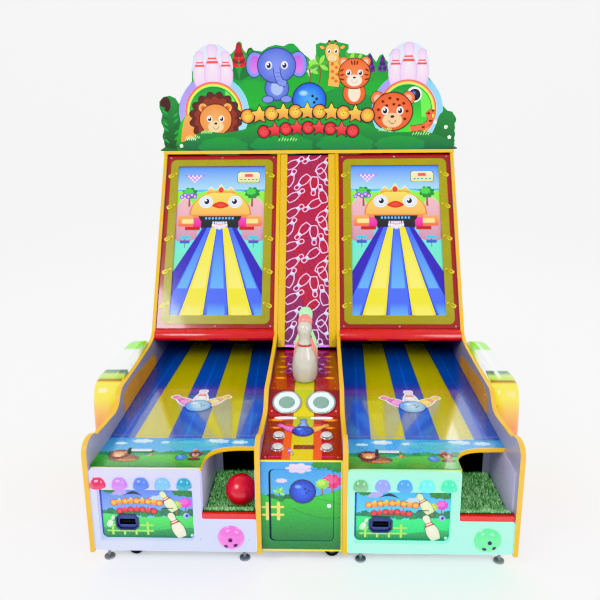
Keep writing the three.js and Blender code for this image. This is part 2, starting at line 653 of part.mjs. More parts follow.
for (const [word, [x, y]] of Object.entries(CASTER_PLACES)) {
  const caster = new THREE.Group();
  caster.position.set(x, y, 0);
  machine.add(caster);
  place(`caster_fork_${word}`, casterFork(), LOOK.steel, caster);
  const wheel = place(`caster_wheel_${word}`, casterWheel(), LOOK.rubber, caster);
  wheel.position.set(CASTER.trail, 0, CASTER.radius + CASTER.lift);
}

export default machine;
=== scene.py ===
# Looks for the twin-lane bowling redemption machine: two lane units with leaning portrait screens,
# a centre column with a button console, and a cut-out topper. Lengths are in millimetres, in the
# model's own frame, and become metres when a mesh is made.
import math
import random

import bpy
from mathutils import Matrix, Vector
from mathutils.geometry import tessellate_polygon


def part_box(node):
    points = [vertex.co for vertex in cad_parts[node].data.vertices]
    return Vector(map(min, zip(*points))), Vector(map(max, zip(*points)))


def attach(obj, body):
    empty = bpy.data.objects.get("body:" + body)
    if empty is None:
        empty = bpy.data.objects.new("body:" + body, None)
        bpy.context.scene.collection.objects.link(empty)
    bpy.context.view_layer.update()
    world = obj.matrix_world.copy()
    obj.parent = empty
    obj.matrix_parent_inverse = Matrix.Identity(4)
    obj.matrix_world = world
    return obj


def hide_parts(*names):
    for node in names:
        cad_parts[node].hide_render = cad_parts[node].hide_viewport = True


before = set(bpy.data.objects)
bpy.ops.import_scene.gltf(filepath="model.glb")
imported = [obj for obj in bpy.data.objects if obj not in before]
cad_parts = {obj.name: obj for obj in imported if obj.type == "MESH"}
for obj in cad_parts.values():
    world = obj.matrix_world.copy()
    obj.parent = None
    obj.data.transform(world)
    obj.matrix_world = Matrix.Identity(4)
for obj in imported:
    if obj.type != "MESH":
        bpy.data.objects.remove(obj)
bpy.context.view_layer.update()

MM = 0.001
SIDES = (("left", -1), ("right", 1))


def span(node):
    """A CAD node's lowest and highest corners, in millimetres."""
    low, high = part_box(node)
    return Vector(low) / MM, Vector(high) / MM


# ---- Places taken from the frame -----------------------------------------------------------------
BOARD = span("side_panel_left_outer")[1].x - span("side_panel_left_outer")[0].x
HALF_WIDTH = span("side_panel_right_outer")[1].x
UNIT_X = (span("counter_right")[0].x + span("counter_right")[1].x) / 2
UNIT_HALF = (span("counter_right")[1].x - span("counter_right")[0].x) / 2
CENTRE_HALF = span("console_panel")[1].x
FACE_Y = span("front_panel_left")[0].y
REAR = span("rear_panel")[1].y
COUNTER_TOP = span("counter_left")[1].z
COUNTER_BACK = span("counter_left")[1].y
LANE_END = span("lane_deck_left")[1].y
LANE_SLOPE = math.atan(0.0437)
DISPLAY = Vector((529, 941))
SCREEN_FOOT = Vector((0, 196, 677))
SCREEN_HEAD = Vector((0, 751, 1650))
SCREEN_LENGTH = (SCREEN_HEAD - SCREEN_FOOT).length
SCREEN_LEAN = math.atan2(SCREEN_HEAD.y - SCREEN_FOOT.y, SCREEN_HEAD.z - SCREEN_FOOT.z)
DISPLAY_MIDDLE = 572


def moved(x=0, y=0, z=0):
    """A shift."""
    return Matrix.Translation((x, y, z))


def turned(axis, degrees):
    """A turn about one of the axes through the origin."""
    return Matrix.Rotation(math.radians(degrees), 4, axis)


def panel(origin, across, outward):
    """A flat place: u runs across, v up the panel, and w out of it."""
    u, w = Vector(across).normalized(), Vector(outward).normalized()
    v = w.cross(u)
    rows = Matrix((u, v, w)).transposed().to_4x4()
    return moved(*origin) @ rows


def screen_place(x, depth=0):
    """The place of a screen's front: u across, v up along the lean, w out towards the player."""
    outward = Vector((0, -math.cos(SCREEN_LEAN), math.sin(SCREEN_LEAN)))
    return panel(Vector((x, 0, 0)) + SCREEN_FOOT - outward * depth, (1, 0, 0), outward)


# ---- Materials -----------------------------------------------------------------------------------
def linear(code):
    """The linear colour of a hexadecimal code."""
    parts = [int(code[i:i + 2], 16) / 255 for i in (1, 3, 5)]
    return tuple(c / 12.92 if c <= 0.04045 else ((c + 0.055) / 1.055) ** 2.4 for c in parts) + (1.0,)


def mixed(low, high, share):
    return tuple(a + (b - a) * share for a, b in zip(low, high))


def node(tree, kind, **values):
    """A shader node; a value is one of its settings or the number on a socket."""
    made = tree.nodes.new("ShaderNode" + kind)
    for key, value in values.items():
        if hasattr(made, key):
            setattr(made, key, value)
        else:
            made.inputs[key].default_value = value
    return made


def blended(tree, share, low, high, mode="MIX"):
    """A colour mix; each side is a colour or an output."""
    mix = node(tree, "Mix", data_type="RGBA", blend_type=mode)
    for socket, value in ((mix.inputs[0], share), (mix.inputs[6], low), (mix.inputs[7], high)):
        if isinstance(value, bpy.types.NodeSocket):
            tree.links.new(value, socket)
        else:
            socket.default_value = value
    return mix.outputs[2]


def noise(tree, scale, detail=3.0, stretch=None):
    """Noise in the piece's own space, in metres, stretched along its axes if asked."""
    coordinates = node(tree, "TexCoord").outputs["Object"]
    if stretch:
        mapping = node(tree, "Mapping", vector_type="POINT")
        mapping.inputs["Scale"].default_value = stretch
        tree.links.new(coordinates, mapping.inputs["Vector"])
        coordinates = mapping.outputs["Vector"]
    texture = node(tree, "TexNoise", Scale=scale, Detail=detail)
    tree.links.new(coordinates, texture.inputs["Vector"])
    return texture.outputs["Fac"]


def ranged(tree, value, low, high, start=0.3, end=0.7):
    """The value's stretch from start to end, spread from low to high."""
    spread = node(tree, "MapRange")
    for name, number in (("From Min", start), ("From Max", end), ("To Min", low), ("To Max", high)):
        spread.inputs[name].default_value = number
    tree.links.new(value, spread.inputs["Value"])
    return spread.outputs["Result"]


def raised(tree, shader, height, distance):
    """A bump as deep as distance, in metres."""
    bump = node(tree, "Bump", Strength=0.4, Distance=distance)
    tree.links.new(height, bump.inputs["Height"])
    tree.links.new(bump.outputs["Normal"], shader.inputs["Normal"])


def material(name, colour="#808080", rough=0.4, rough_spread=0.08, metal=0.0, coat=0.0, tint=0.9, scale=9.0,
             grain=None, glow=0.0, printed=False, wear=None, stretch=None, sheen=0.0):
    """A painted, moulded or printed surface: mottled colour, uneven gloss and a fine grain.

    printed reads the picture's own colours, grain is (scale, depth in mm), and glow is emission: light from
    within on lamps, and painted light on some unlit parts."""
    made = bpy.data.materials.new(name)
    made.use_nodes = True
    tree = made.node_tree
    shader = tree.nodes["Principled BSDF"]
    shader.inputs["Metallic"].default_value = metal
    shader.inputs["Coat Weight"].default_value = coat
    shader.inputs["Coat Roughness"].default_value = 0.06
    shader.inputs["Sheen Weight"].default_value = sheen
    base = linear(colour)
    if printed:
        base = node(tree, "Attribute", attribute_name="print").outputs["Color"]
    mottle = ranged(tree, noise(tree, scale, 4.0, stretch), 0.0, 1.0)
    shade = blended(tree, mottle, (tint, tint, tint, 1), (1, 1, 1, 1))
    coloured = blended(tree, 1.0, base, shade, "MULTIPLY")
    if wear:
        scuffs = ranged(tree, noise(tree, scale * 5, 6.0), 0.0, 0.6, 0.66, 0.78)
        coloured = blended(tree, scuffs, coloured, linear(wear))
    tree.links.new(coloured, shader.inputs["Base Color"])
    gloss = ranged(tree, noise(tree, scale * 2.3, 5.0, stretch), rough - rough_spread, rough + rough_spread)
    tree.links.new(gloss, shader.inputs["Roughness"])
    if grain:
        raised(tree, shader, noise(tree, grain[0], 2.0, stretch), grain[1] * MM)
    if glow:
        tree.links.new(coloured, shader.inputs["Emission Color"])
        shader.inputs["Emission Strength"].default_value = glow
    return made


LOOK = {
    "laminate": material("laminate", "#A09CB4", 0.38, coat=0.15, tint=0.93, scale=5, grain=(900, 0.05)),
    "moulding": material("moulding", "#F6C21C", 0.34, tint=0.93, scale=14, grain=(400, 0.04)),
    "red": material("red_gloss", "#920A0E", 0.22, 0.05, coat=0.8, tint=0.88, scale=3, grain=(60, 0.03)),
    # The ball boxes' laminate glows a little: painted light that brightens their shaded walls.
    "box": material("box_laminate_painted_light", "#B4AECC", 0.4, coat=0.1, tint=0.93, scale=5, grain=(900, 0.05),
                    glow=0.09),
    "lip": material("red_lip", "#C9141A", 0.25, 0.05, coat=0.7, tint=0.9, scale=4, grain=(80, 0.03)),
    "olive": material("olive_frame", "#928A08", 0.3, coat=0.4, tint=0.9, scale=8, grain=(300, 0.03)),
    "black": material("black_laminate", "#17171B", 0.5, tint=0.8, scale=7, grain=(700, 0.1)),
    "pit": material("pit_black", "#0A0A0C", 0.7, tint=0.8, grain=(300, 0.1)),
    "plastic": material("dark_plastic", "#202226", 0.5, tint=0.85, scale=20, grain=(1200, 0.06)),
    "steel": material("painted_steel", "#8A9096", 0.42, metal=0.4, tint=0.85, scale=12, grain=(500, 0.06),
                      wear="#8C9096"),
    "zinc": material("zinc_plate", "#B8BCC0", 0.32, metal=0.95, tint=0.85, scale=25, grain=(600, 0.04)),
    "chrome": material("chrome", "#E4E8EC", 0.12, 0.05, metal=1.0, tint=0.95, scale=15),
    "rubber": material("wheel_rubber", "#1C1C1E", 0.75, tint=0.8, scale=30, grain=(900, 0.08)),
    "print": material("printed_vinyl", rough=0.3, coat=0.5, tint=0.95, scale=60, grain=(1500, 0.02),
                      printed=True),
    "lit_print": material("backlit_print", rough=0.28, coat=0.6, tint=0.95, scale=60, grain=(1500, 0.02),
                          printed=True, glow=0.3),
    "picture": material("screen_picture", rough=0.16, rough_spread=0.03, coat=1.0, tint=0.96, scale=80,
                        printed=True, glow=0.5),
    "lane": material("lane_print", rough=0.24, rough_spread=0.06, coat=0.9, tint=0.92, scale=4,
                     grain=(90, 0.03), printed=True, stretch=(6, 1, 1)),
    # The ball glows faintly: painted light, as a ball is no lamp.
    "ball": material("ball_red", "#CC1830", 0.3, 0.04, coat=0.4, tint=0.72, scale=11, glow=0.05),
    # The turf glows: painted light that brightens the shaded floor of the ball box.
    "turf": material("turf", "#62A062", 0.85, tint=0.55, scale=60, sheen=0.3, glow=0.4),
    "backing": material("turf_backing", "#20402A", 0.9, tint=0.7, scale=80, grain=(800, 0.2)),
    "white": material("white_plastic", "#EEF1F8", 0.3, coat=0.3, tint=0.94, glow=0.2),
    # Dark plum for screws' cross recesses and the lens's finger holes: painted shade in recesses.
    "hole": material("painted_recess_shade", "#3A1250", 0.4, tint=0.8),
    "lime": material("lime_edge", "#B8BE1C", 0.35, tint=0.9, scale=14, grain=(400, 0.04)),
    "navy": material("navy_plastic", "#26305C", 0.35, coat=0.2, tint=0.85, scale=20, grain=(900, 0.05)),
    "navy_deep": material("navy_recess", "#34407C", 0.45, tint=0.8, scale=24),
    "clip": material("clip_gold", "#D8CC30", 0.3, metal=0.3, coat=0.4, tint=0.85, scale=30),
    "neon_ink": material("neon_ink", rough=0.3, coat=0.4, tint=0.93, scale=30, printed=True, glow=0.2),
    "lit_white_bar": material("lit_white_bar", "#E8F0FF", 0.2, coat=0.5, tint=0.9, glow=0.9),
    "light_bar": material("light_bar", "#C878E0", 0.2, coat=0.5, tint=0.85, glow=0.7),
    "ring_light": material("ring_light", "#F0FFFF", 0.15, coat=0.6, tint=0.93, scale=40, glow=1.3),
    # The speaker grille glows: painted light that stands for the lit ring's light falling on it.
    "grille": material("grille", "#9CC0B4", 0.35, metal=0.4, tint=0.8, scale=60, glow=0.2),
    # Near black for holes, slits and wells: painted shade where there is only a hole.
    "painted_hole_shade": material("painted_hole_shade", "#3C4A48", 0.7, tint=0.8),
    "button": material("button_silver", "#D8D2D2", 0.34, metal=0.3, coat=0.3, tint=0.8, scale=50),
    "gold": material("gold_paint", "#E0B420", 0.32, metal=0.25, coat=0.4, tint=0.88, scale=6,
                     grain=(300, 0.04)),
    "pin_front": material("pin_white", "#BCB8AC", 0.2, coat=0.7, tint=0.9, scale=6, grain=(50, 0.05)),
    "pin_middle": material("pin_pink", "#F48C84", 0.25, coat=0.6, tint=0.9, scale=6, glow=0.35),
    "pin_rear": material("pin_green", "#A4F0B4", 0.25, coat=0.6, tint=0.9, scale=6, glow=0.35),
    "pin_band": material("pin_band", "#B4161C", 0.25, coat=0.6, tint=0.85, scale=30),
    # The blades glow more than the mat: painted light on the shaded box floor.
    "turf_blade_painted_light": material("turf_blade_painted_light", "#A8D0A0", 0.7, tint=0.6, scale=45, sheen=0.2, glow=0.6),
    # Dark red for the ball's finger holes: painted shade for their depth.
    "ball_hole_shade": material("ball_hole_painted_shade", "#5C0A12", 0.5, tint=0.8),
    "acrylic_edge": material("topper_acrylic", "#DCE4E0", 0.25, coat=0.4, tint=0.93, scale=5),
    "topper_ink": material("topper_ink", rough=0.22, rough_spread=0.05, coat=0.8, tint=0.94, scale=30,
                           grain=(900, 0.02), printed=True, glow=0.22),
    "lens": material("lamp_lens", rough=0.16, rough_spread=0.04, coat=0.8, tint=0.93, scale=6,
                     printed=True, glow=0.28),
    "vent": material("vent_brown", "#7A4410", 0.5, tint=0.8),
    "amber": material("amber_window", "#C08A1C", 0.35, coat=0.2, tint=0.85, scale=8, glow=0.22),
    "wheel_hub": material("wheel_hub", "#4A4C50", 0.4, metal=0.3, tint=0.8, scale=40),
}


# ---- Mesh making ---------------------------------------------------------------------------------
def settle(obj, body):
    """Gives a finished piece its moving body."""
    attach(obj, body)
    return obj


class Build:
    def __init__(self, place=None):
        self.place = place or Matrix()
        self.verts, self.faces, self.kinds, self.smooth = [], [], [], []

    def add(self, verts, faces, kind=0, place=None, smooth=False):
        start = len(self.verts)
        whole = self.place @ place if place else self.place
        self.verts += [whole @ Vector(v) for v in verts]
        self.faces += [[start + i for i in face] for face in faces]
        self.kinds += [kind] * len(faces)
        self.smooth += [smooth] * len(faces)
        return self

    def block(self, x0, x1, y0, y1, z0, z1, kind=0, place=None):
        corners = [(x, y, z) for x in (x0, x1) for y in (y0, y1) for z in (z0, z1)]
        faces = [(0, 1, 3, 2), (4, 6, 7, 5), (0, 4, 5, 1), (2, 3, 7, 6), (0, 2, 6, 4), (1, 5, 7, 3)]
        return self.add(corners, faces, kind, place)

    def prism(self, outline, low, high, kind=0, place=None):
        """An outline in (u, v), from low to high along w."""
        n, outline = len(outline), anticlockwise(outline)
        verts = [(u, v, w) for w in (low, high) for u, v in outline]
        sides = [(i, (i + 1) % n, n + (i + 1) % n, n + i) for i in range(n)]
        caps = [tuple(range(n))[::-1], tuple(range(n, 2 * n))]
        return self.add(verts, sides + caps, kind, place)

    def lathe(self, profile, segments=48, kind=0, place=None, smooth=True):
        """A profile of (radius, height), turned about w."""
        verts, rings = [], []
        for radius, height in profile:
            if radius == 0:
                rings.append([len(verts)] * segments)
                verts.append((0, 0, height))
                continue
            rings.append(list(range(len(verts), len(verts) + segments)))
            for i in range(segments):
                angle = 2 * math.pi * i / segments
                verts.append((radius * math.cos(angle), radius * math.sin(angle), height))
        faces = []
        for low, high in zip(rings, rings[1:]):
            for i in range(segments):
                j = (i + 1) % segments
                face = [low[i], low[j], high[j], high[i]]
                face = [v for k, v in enumerate(face) if v not in face[:k]]
                if len(face) > 2:
                    faces.append(face)
        return self.add(verts, faces, kind, place, smooth)

    def sweep(self, path, section, across, closed=False, smooth=False):
        """A section of (along across, outward) carried along a path in a plane square to across.

        Outward is the left of the path, seen against across."""
        across = Vector(across).normalized()
        points = [Vector(p) for p in path]
        count, width = len(points), len(section)
        verts = []
        for i, point in enumerate(points):
            before = points[i - 1] if i or closed else None
            after = points[(i + 1) % count] if i < count - 1 or closed else None
            steps = [(b - a).normalized() for a, b in ((before, point), (point, after)) if a and b]
            normals = [step.cross(across) for step in steps]
            middle = sum(normals, Vector()).normalized()
            reach = 1 / max(0.5, middle.dot(normals[0]))
            verts += [point + across * a + middle * b * reach for a, b in section]
        faces = []
        for i in range(count if closed else count - 1):
            for j in range(width):
                a, b = i * width, ((i + 1) % count) * width
                k = (j + 1) % width
                faces.append((a + j, a + k, b + k, b + j))
        if not closed:
            faces += [tuple(range(width))[::-1], tuple(range((count - 1) * width, count * width))]
        return self.add(verts, faces, 0, None, smooth)

    def finish(self, name, looks, body="cabinet", slot="laminated_board", bevel=0, steps=2, angle=35):
        mesh = bpy.data.meshes.new(name)
        mesh.from_pydata([v * MM for v in self.verts], [], self.faces)
        for look in [looks] if isinstance(looks, str) else looks:
            mesh.materials.append(LOOK[look])
        for face, kind, smooth in zip(mesh.polygons, self.kinds, self.smooth):
            face.material_index = kind
            face.use_smooth = smooth
        mesh.update()
        obj = bpy.data.objects.new(name, mesh)
        bpy.context.collection.objects.link(obj)
        if bevel:
            rounded = obj.modifiers.new("bevel", "BEVEL")
            rounded.width, rounded.segments = bevel * MM, steps
            rounded.limit_method, rounded.angle_limit = "ANGLE", math.radians(angle)
        return settle(obj, body)


def area(points):
    """The area in an outline, negative where it turns right."""
    return sum(a[0] * b[1] - b[0] * a[1] for a, b in zip(points, points[1:] + points[:1])) / 2


def anticlockwise(points):
    return points if area(points) > 0 else points[::-1]


def arc(cu, cv, ru, rv, start=0, end=360, steps=32):
    """Points on an ellipse, from start to end in degrees; a full turn leaves out its last point."""
    full = abs(end - start) == 360
    count = steps if full else steps + 1
    angles = [math.radians(start + (end - start) * i / steps) for i in range(count)]
    return [(cu + ru * math.cos(a), cv + rv * math.sin(a)) for a in angles]


def box(u0, v0, u1, v1):
    return [(u0, v0), (u1, v0), (u1, v1), (u0, v1)]


def rounded(u0, v0, u1, v1, radius, steps=6):
    """A rectangle with round corners; four radii go round from the top right corner."""
    r = radius if isinstance(radius, (tuple, list)) else (radius,) * 4
    corners = [(u1, v1, -1, -1, 0, r[0]), (u0, v1, 1, -1, 90, r[1]), (u0, v0, 1, 1, 180, r[2]),
               (u1, v0, -1, 1, 270, r[3])]
    points = []
    for u, v, du, dv, start, size in corners:
        if size:
            points += arc(u + du * size, v + dv * size, size, size, start, start + 90, steps)
        else:
            points.append((u, v))
    return points


def smooth_loop(points, steps=5):
    """A closed curve through the points."""
    n = len(points)
    curve = []
    for i in range(n):
        p0, p1, p2, p3 = (Vector(points[(i + k) % n]) for k in (-1, 0, 1, 2))
        for j in range(steps):
            t = j / steps
            curve.append(tuple(0.5 * (2 * p1 + (p2 - p0) * t + (2 * p0 - 5 * p1 + 4 * p2 - p3) * t * t
                                      + (3 * p1 - p0 - 3 * p2 + p3) * t ** 3)))
    return curve


def smooth_corners(points, radius, steps=4):
    """A polygon with its corners rounded off."""
    out = []
    for i, point in enumerate(points):
        a, b, c = Vector(points[i - 1]), Vector(point), Vector(points[(i + 1) % len(points)])
        before, after = b + (a - b).normalized() * radius, b + (c - b).normalized() * radius
        for j in range(steps + 1):
            t = j / steps
            out.append(tuple(before * (1 - t) ** 2 + b * 2 * t * (1 - t) + after * t * t))
    return out


def moved_shape(points, du=0, dv=0, turn=0, scale=1):
    """An outline, turned and scaled about its origin and then shifted."""
    c, s = math.cos(math.radians(turn)) * scale, math.sin(math.radians(turn)) * scale
    return [(du + c * u - s * v, dv + s * u + c * v) for u, v in points]


def clip_side(points, a, b):
    """The part of an outline on the left of the line from a to b."""
    du, dv = b[0] - a[0], b[1] - a[1]
    kept = []
    for p, q in zip(points, points[1:] + points[:1]):
        dp = du * (p[1] - a[1]) - dv * (p[0] - a[0])
        dq = du * (q[1] - a[1]) - dv * (q[0] - a[0])
        if dp >= 0:
            kept.append(p)
        if (dp >= 0) != (dq >= 0):
            t = dp / (dp - dq)
            kept.append((p[0] + (q[0] - p[0]) * t, p[1] + (q[1] - p[1]) * t))
    return kept


def clipped(points, window):
    """The part of an outline inside a convex window."""
    for a, b in zip(window, window[1:] + window[:1]):
        points = clip_side(points, a, b)
        if len(points) < 3:
            return []
    return points


class Drawing:
    """Shapes by name, for whatever can lay an outline."""

    def rect(self, u0, v0, u1, v1, colour, **edges):
        return self.lay(box(u0, v0, u1, v1), colour, **edges)

    def disc(self, u, v, size, steps, colour, **edges):
        """A disc, or an ellipse when size is (half width, half height)."""
        wide, tall = size if isinstance(size, tuple) else (size, size)
        return self.lay(arc(u, v, wide, tall, steps=steps), colour, **edges)

    def blob(self, points, colour, steps=6, **edges):
        """A shape with a smooth outline through the points."""
        return self.lay(smooth_loop(points, steps), colour, **edges)

    def at(self, u, v, size):
        return Sketch(self, u, v, size)


class Sketch(Drawing):
    """A part of a drawing, in units of its own size round its own middle."""

    def __init__(self, art, u, v, size):
        self.art, self.u, self.v, self.size = art, u, v, size

    def placed(self, points):
        return moved_shape(points, self.u, self.v, scale=self.size)

    def lay(self, points, colour, **edges):
        return self.art.lay(self.placed(points), colour, **edges)

    def line(self, points, width, colour):
        return self.art.line(self.placed(points), width * self.size, colour)


class Print(Drawing):
    """A printed picture: flat shapes laid over each other on a panel, in the panel's millimetres.

    window keeps the shapes inside a convex outline, and hole keeps them out of one. step is the
    height from one shape to the next, and colours are raised to the power of depth."""

    def __init__(self, place, window=None, hole=None, lift=0.3, step=0.12, depth=1.4):
        self.place, self.window, self.hole = place, window, hole
        self.lift, self.step, self.depth = lift, step, depth
        self.verts, self.faces, self.colours, self.laid = [], [], [], []

    def level(self, points):
        """The height of a shape: a step over whatever it may cross."""
        us, vs = [p[0] for p in points], [p[1] for p in points]
        extent = (min(us), min(vs), max(us), max(vs))
        under = [n for (a, b, c, d), n in self.laid
                 if a < extent[2] and c > extent[0] and b < extent[3] and d > extent[1]]
        height = 1 + max(under, default=-1)
        self.laid.append((extent, height))
        return self.lift + height * self.step

    def patch(self, points, shades, faces, height):
        start = len(self.verts)
        self.verts += [self.place @ Vector((u, v, height)) for u, v in points]
        self.faces += [[start + i for i in face] for face in faces]
        self.colours += shades
        return self

    def lay(self, points, colour, fade=None, rim=None, ring=None):
        """One shape. fade is the colour at its top, rim the colour at its edge, ring a band's inner loop.

        A rimmed shape isn't carved: it is left out when its middle is in the hole."""
        if self.window and ring is None:
            points = clipped(points, self.window)
            if not points:
                return self
        if area(points) < 0:
            points = points[::-1]
            ring = ring[::-1] if ring else None
        height = self.level(points)
        base, n = linear(colour), len(points)
        if ring:
            for i in range(n):
                part = [points[i], points[(i + 1) % n], ring[(i + 1) % n], ring[i]]
                part = clipped(part, self.window) if self.window else part
                if part:
                    self.patch(part, [base] * len(part), [tuple(range(len(part)))], height)
            return self
        if rim:
            middle = (sum(p[0] for p in points) / n, sum(p[1] for p in points) / n)
            if self.hole and inside(middle, self.hole):
                return self
            faces = [(i, (i + 1) % n, n) for i in range(n)]
            return self.patch(list(points) + [middle], [linear(rim)] * n + [base], faces, height)
        top = linear(fade or colour)
        low = min(p[1] for p in points)
        rise = (max(p[1] for p in points) - low) or 1

        def shade(point):
            return mixed(base, top, (point[1] - low) / rise)

        faces = triangles_of([points])
        if not self.hole:
            return self.patch(points, [shade(p) for p in points], faces, height)
        for face in faces:
            for part in carved([points[i] for i in face], self.hole):
                self.patch(part, [shade(p) for p in part], [tuple(range(len(part)))], height)
        return self

    def band(self, points, width, colour):
        """A line of even width along a closed loop, inside it."""
        points = anticlockwise(points)
        return self.lay(points, colour, ring=inset(points, width))

    def line(self, points, width, colour):
        """An open stroke of even width."""
        left, right = [], []
        for i, point in enumerate(points):
            a, b = Vector(points[max(i - 1, 0)]), Vector(points[min(i + 1, len(points) - 1)])
            side = Vector((-(b - a).y, (b - a).x)).normalized() * width / 2
            left.append(tuple(Vector(point) + side))
            right.append(tuple(Vector(point) - side))
        return self.lay(right + left[::-1], colour)

    def finish(self, name, look="print", body="cabinet", slot="printed_panel"):
        mesh = bpy.data.meshes.new(name)
        mesh.from_pydata([v * MM for v in self.verts], [], self.faces)
        layer = mesh.color_attributes.new("print", "FLOAT_COLOR", "POINT")
        layer.data.foreach_set("color", [c ** self.depth for colour in self.colours for c in colour])
        mesh.materials.append(LOOK[look])
        obj = bpy.data.objects.new(name, mesh)
        bpy.context.collection.objects.link(obj)
        return settle(obj, body)


def inside(point, loop):
    return all(area([a, b, point]) > 0 for a, b in zip(loop, loop[1:] + loop[:1]))


def triangles_of(loops):
    """An outline and the holes in it as triangles, which all turn left."""
    points = [p for loop in loops for p in loop]
    flat = tessellate_polygon([[Vector((u, v, 0)) for u, v in loop] for loop in loops])
    return [t if area([points[i] for i in t]) > 0 else t[::-1] for t in flat]


def carved(points, hole):
    """The parts of a convex outline that lie outside a convex hole."""
    parts = []
    for a, b in zip(hole, hole[1:] + hole[:1]):
        outside = clip_side(points, b, a)
        if len(outside) > 2:
            parts.append(outside)
        points = clip_side(points, a, b)
        if len(points) < 3:
            break
    return parts


def inset(points, width):
    """The loop moved inwards by a width, point for point."""
    n, moved_in = len(points), []
    for i in range(n):
        a, b, c = (Vector(points[(i + k) % n]) for k in (-1, 0, 1))
        normals = [Vector((-(q - p).y, (q - p).x)).normalized() for p,
                   q in ((a, b), (b, c)) if (q - p).length > 1e-6]
        middle = sum(normals, Vector((0, 0))).normalized()
        moved_in.append(tuple(b + middle * width / max(0.5, middle.dot(normals[0]))))
    return moved_in


# ---- The frame's own nodes -----------------------------------------------------------------------
def dress(look, *nodes):
    """One look for the whole of some CAD nodes."""
    for name in nodes:
        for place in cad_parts[name].material_slots:
            place.material = LOOK[look]


def both(name):
    """The left and the right node of a name with a star in it."""
    return [name.replace("*", word) for word, _ in SIDES]


dress("laminate", "side_panel_left_outer", "side_panel_left_inner", "side_panel_right_inner",
      "side_panel_right_outer", "top_panel")
# The ball boxes get a laminate with a small glow: painted light on walls that lie in shade.
dress("box", *both("ball_box_*"))
dress("black", "rear_panel", *both("rear_door_*"), *both("lane_deck_*"), "console_front")
dress("steel", "base_frame", "power_supply", *[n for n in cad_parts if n.startswith("caster_fork")])
dress("pit", *both("ball_return_*"), *both("display_*"))
dress("plastic", "game_computer", *both("ticket_dispenser_*"))
dress("red", *both("screen_bezel_*"), "console_panel")
dress("navy", "service_door", *both("ticket_door_*"))
dress("lime", *both("counter_*"))


def face_loop(name, axis):
    """The outer loop of a CAD node's flat face at the high end of an axis, in millimetres."""
    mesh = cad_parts[name].data
    level = span(name)[1][axis]
    edges = set()
    for face in mesh.polygons:
        corners = [tuple(round(c / MM, 1) for c in mesh.vertices[i].co) for i in face.vertices]
        if all(abs(c[axis] - level) < 0.1 for c in corners):
            for a, b in zip(corners, corners[1:] + corners[:1]):
                if (b, a) in edges:
                    edges.remove((b, a))
                else:
                    edges.add((a, b))
    following = dict(edges)
    loop = [min(following)]
    while following[loop[-1]] != loop[0]:
        loop.append(following[loop[-1]])
    return loop


# ---- Edge mouldings ------------------------------------------------------------------------------
def moulding_section(width):
    half, proud = width / 2, 2.4
    return [(-half, 0.1), (-half, 1.0), (-half + 1.2, 1.9), (-half / 3, proud), (half / 3, proud),
            (half - 1.2, 1.9), (half, 1.0), (half, 0.1)]


def side_mouldings():
    for name in ("left_outer", "left_inner", "right_inner", "right_outer"):
        board = f"side_panel_{name}"
        low, high = span(board)
        loop = [corner[1:] for corner in face_loop(board, 0)]
        loop = anticlockwise(loop)[::-1]
        start = min(range(len(loop)), key=lambda i: loop[i][0] + loop[i][1])
        loop = loop[start:] + loop[:start]
        closed = name.endswith("outer")
        if not closed:
            loop = loop[:loop.index(max(loop, key=lambda p: p[1] * 10 - p[0])) + 1]
        middle = (low.x + high.x) / 2
        path = [(middle, y, z) for y, z in loop]
        build = Build().sweep(path, moulding_section(BOARD), (-1, 0, 0), closed=closed, smooth=True)
        build.finish(f"moulding_{name}", "moulding", slot="laminated_board")
    low, high = span("top_panel")
    middle = (low.z + high.z) / 2
    path = [(low.x, high.y, middle), (low.x, low.y, middle), (high.x, low.y, middle),
            (high.x, high.y, middle)]
    Build().sweep(path, moulding_section(high.z - low.z), (0, 0, 1), closed=True).finish(
        "moulding_roof", "moulding", bevel=0.4)


# ---- Small fasteners and lights ------------------------------------------------------------------
def outward(x, y, z):
    """A place on a front face: u across, v up, w towards the player."""
    return panel((x, y, z), (1, 0, 0), (0, -1, 0))


def add_screw(build, place, radius=5, kind=0):
    """A round head with a cross recess, its dark filled in with painted shade."""
    build.lathe([(radius, 0), (radius, 0.6), (radius * 0.8, 1.6), (radius * 0.45, 2.2), (radius * 0.4, 1.4),
                 (0, 1.4)], 20, kind, place)
    for degrees in (0, 90):
        build.block(-radius * 0.38, radius * 0.38, -0.5, 0.5, 0.9, 1.5, kind + 1,
                    place @ turned("Z", degrees))
    return build


def key_lock(name, place, body, profile, slit, segments):
    """A round lock cylinder; slit is the keyhole's (half width, half height, thickness), a dark block that
    stands for the hole's painted shade.
    """
    wide, tall, thick = slit
    front = profile[-1][1] - 0.1
    lock = Build(place).lathe(profile, segments)
    lock.block(-wide, wide, -tall, tall, front, front + thick, 1)
    lock.finish(name, ["chrome", "painted_hole_shade"], body=body, slot="chrome_trim")


SHELL_FRONT = FACE_Y - 19
DOME_HUES = {
    "left": ("#C00C4C", "#D47CF4", "#2474F0", "#6CCCFF", "#0A84A0"),
    "right": ("#5C9468", "#92A4FF", "#0C98E8", "#58F4F4", "#0CE8B0"),
}
DOME_X = {"left": -303, "right": -287}
DOME_PITCH = 88
DOOR = {"left": -309, "right": 79, "bottom": 125, "top": 349}
LAMP = {"x": 233, "z": 145, "radius": 51.5, "proud": 28}
ACRYLIC_HUES = {"left": ("#E0E4FC", "#90C4FF", "#C4A4F4"), "right": ("#B0FFEA", "#6CFCF4", "#58F4BC")}


def lamp_look(name, hue, glow):
    """A glossy lens, lit from within."""
    made = material(name, hue, 0.18, 0.04, coat=0.7, tint=0.82, scale=14, glow=glow)
    made.node_tree.nodes["Principled BSDF"].inputs["Specular IOR Level"].default_value = 0.75
    LOOK[name] = made
    return name


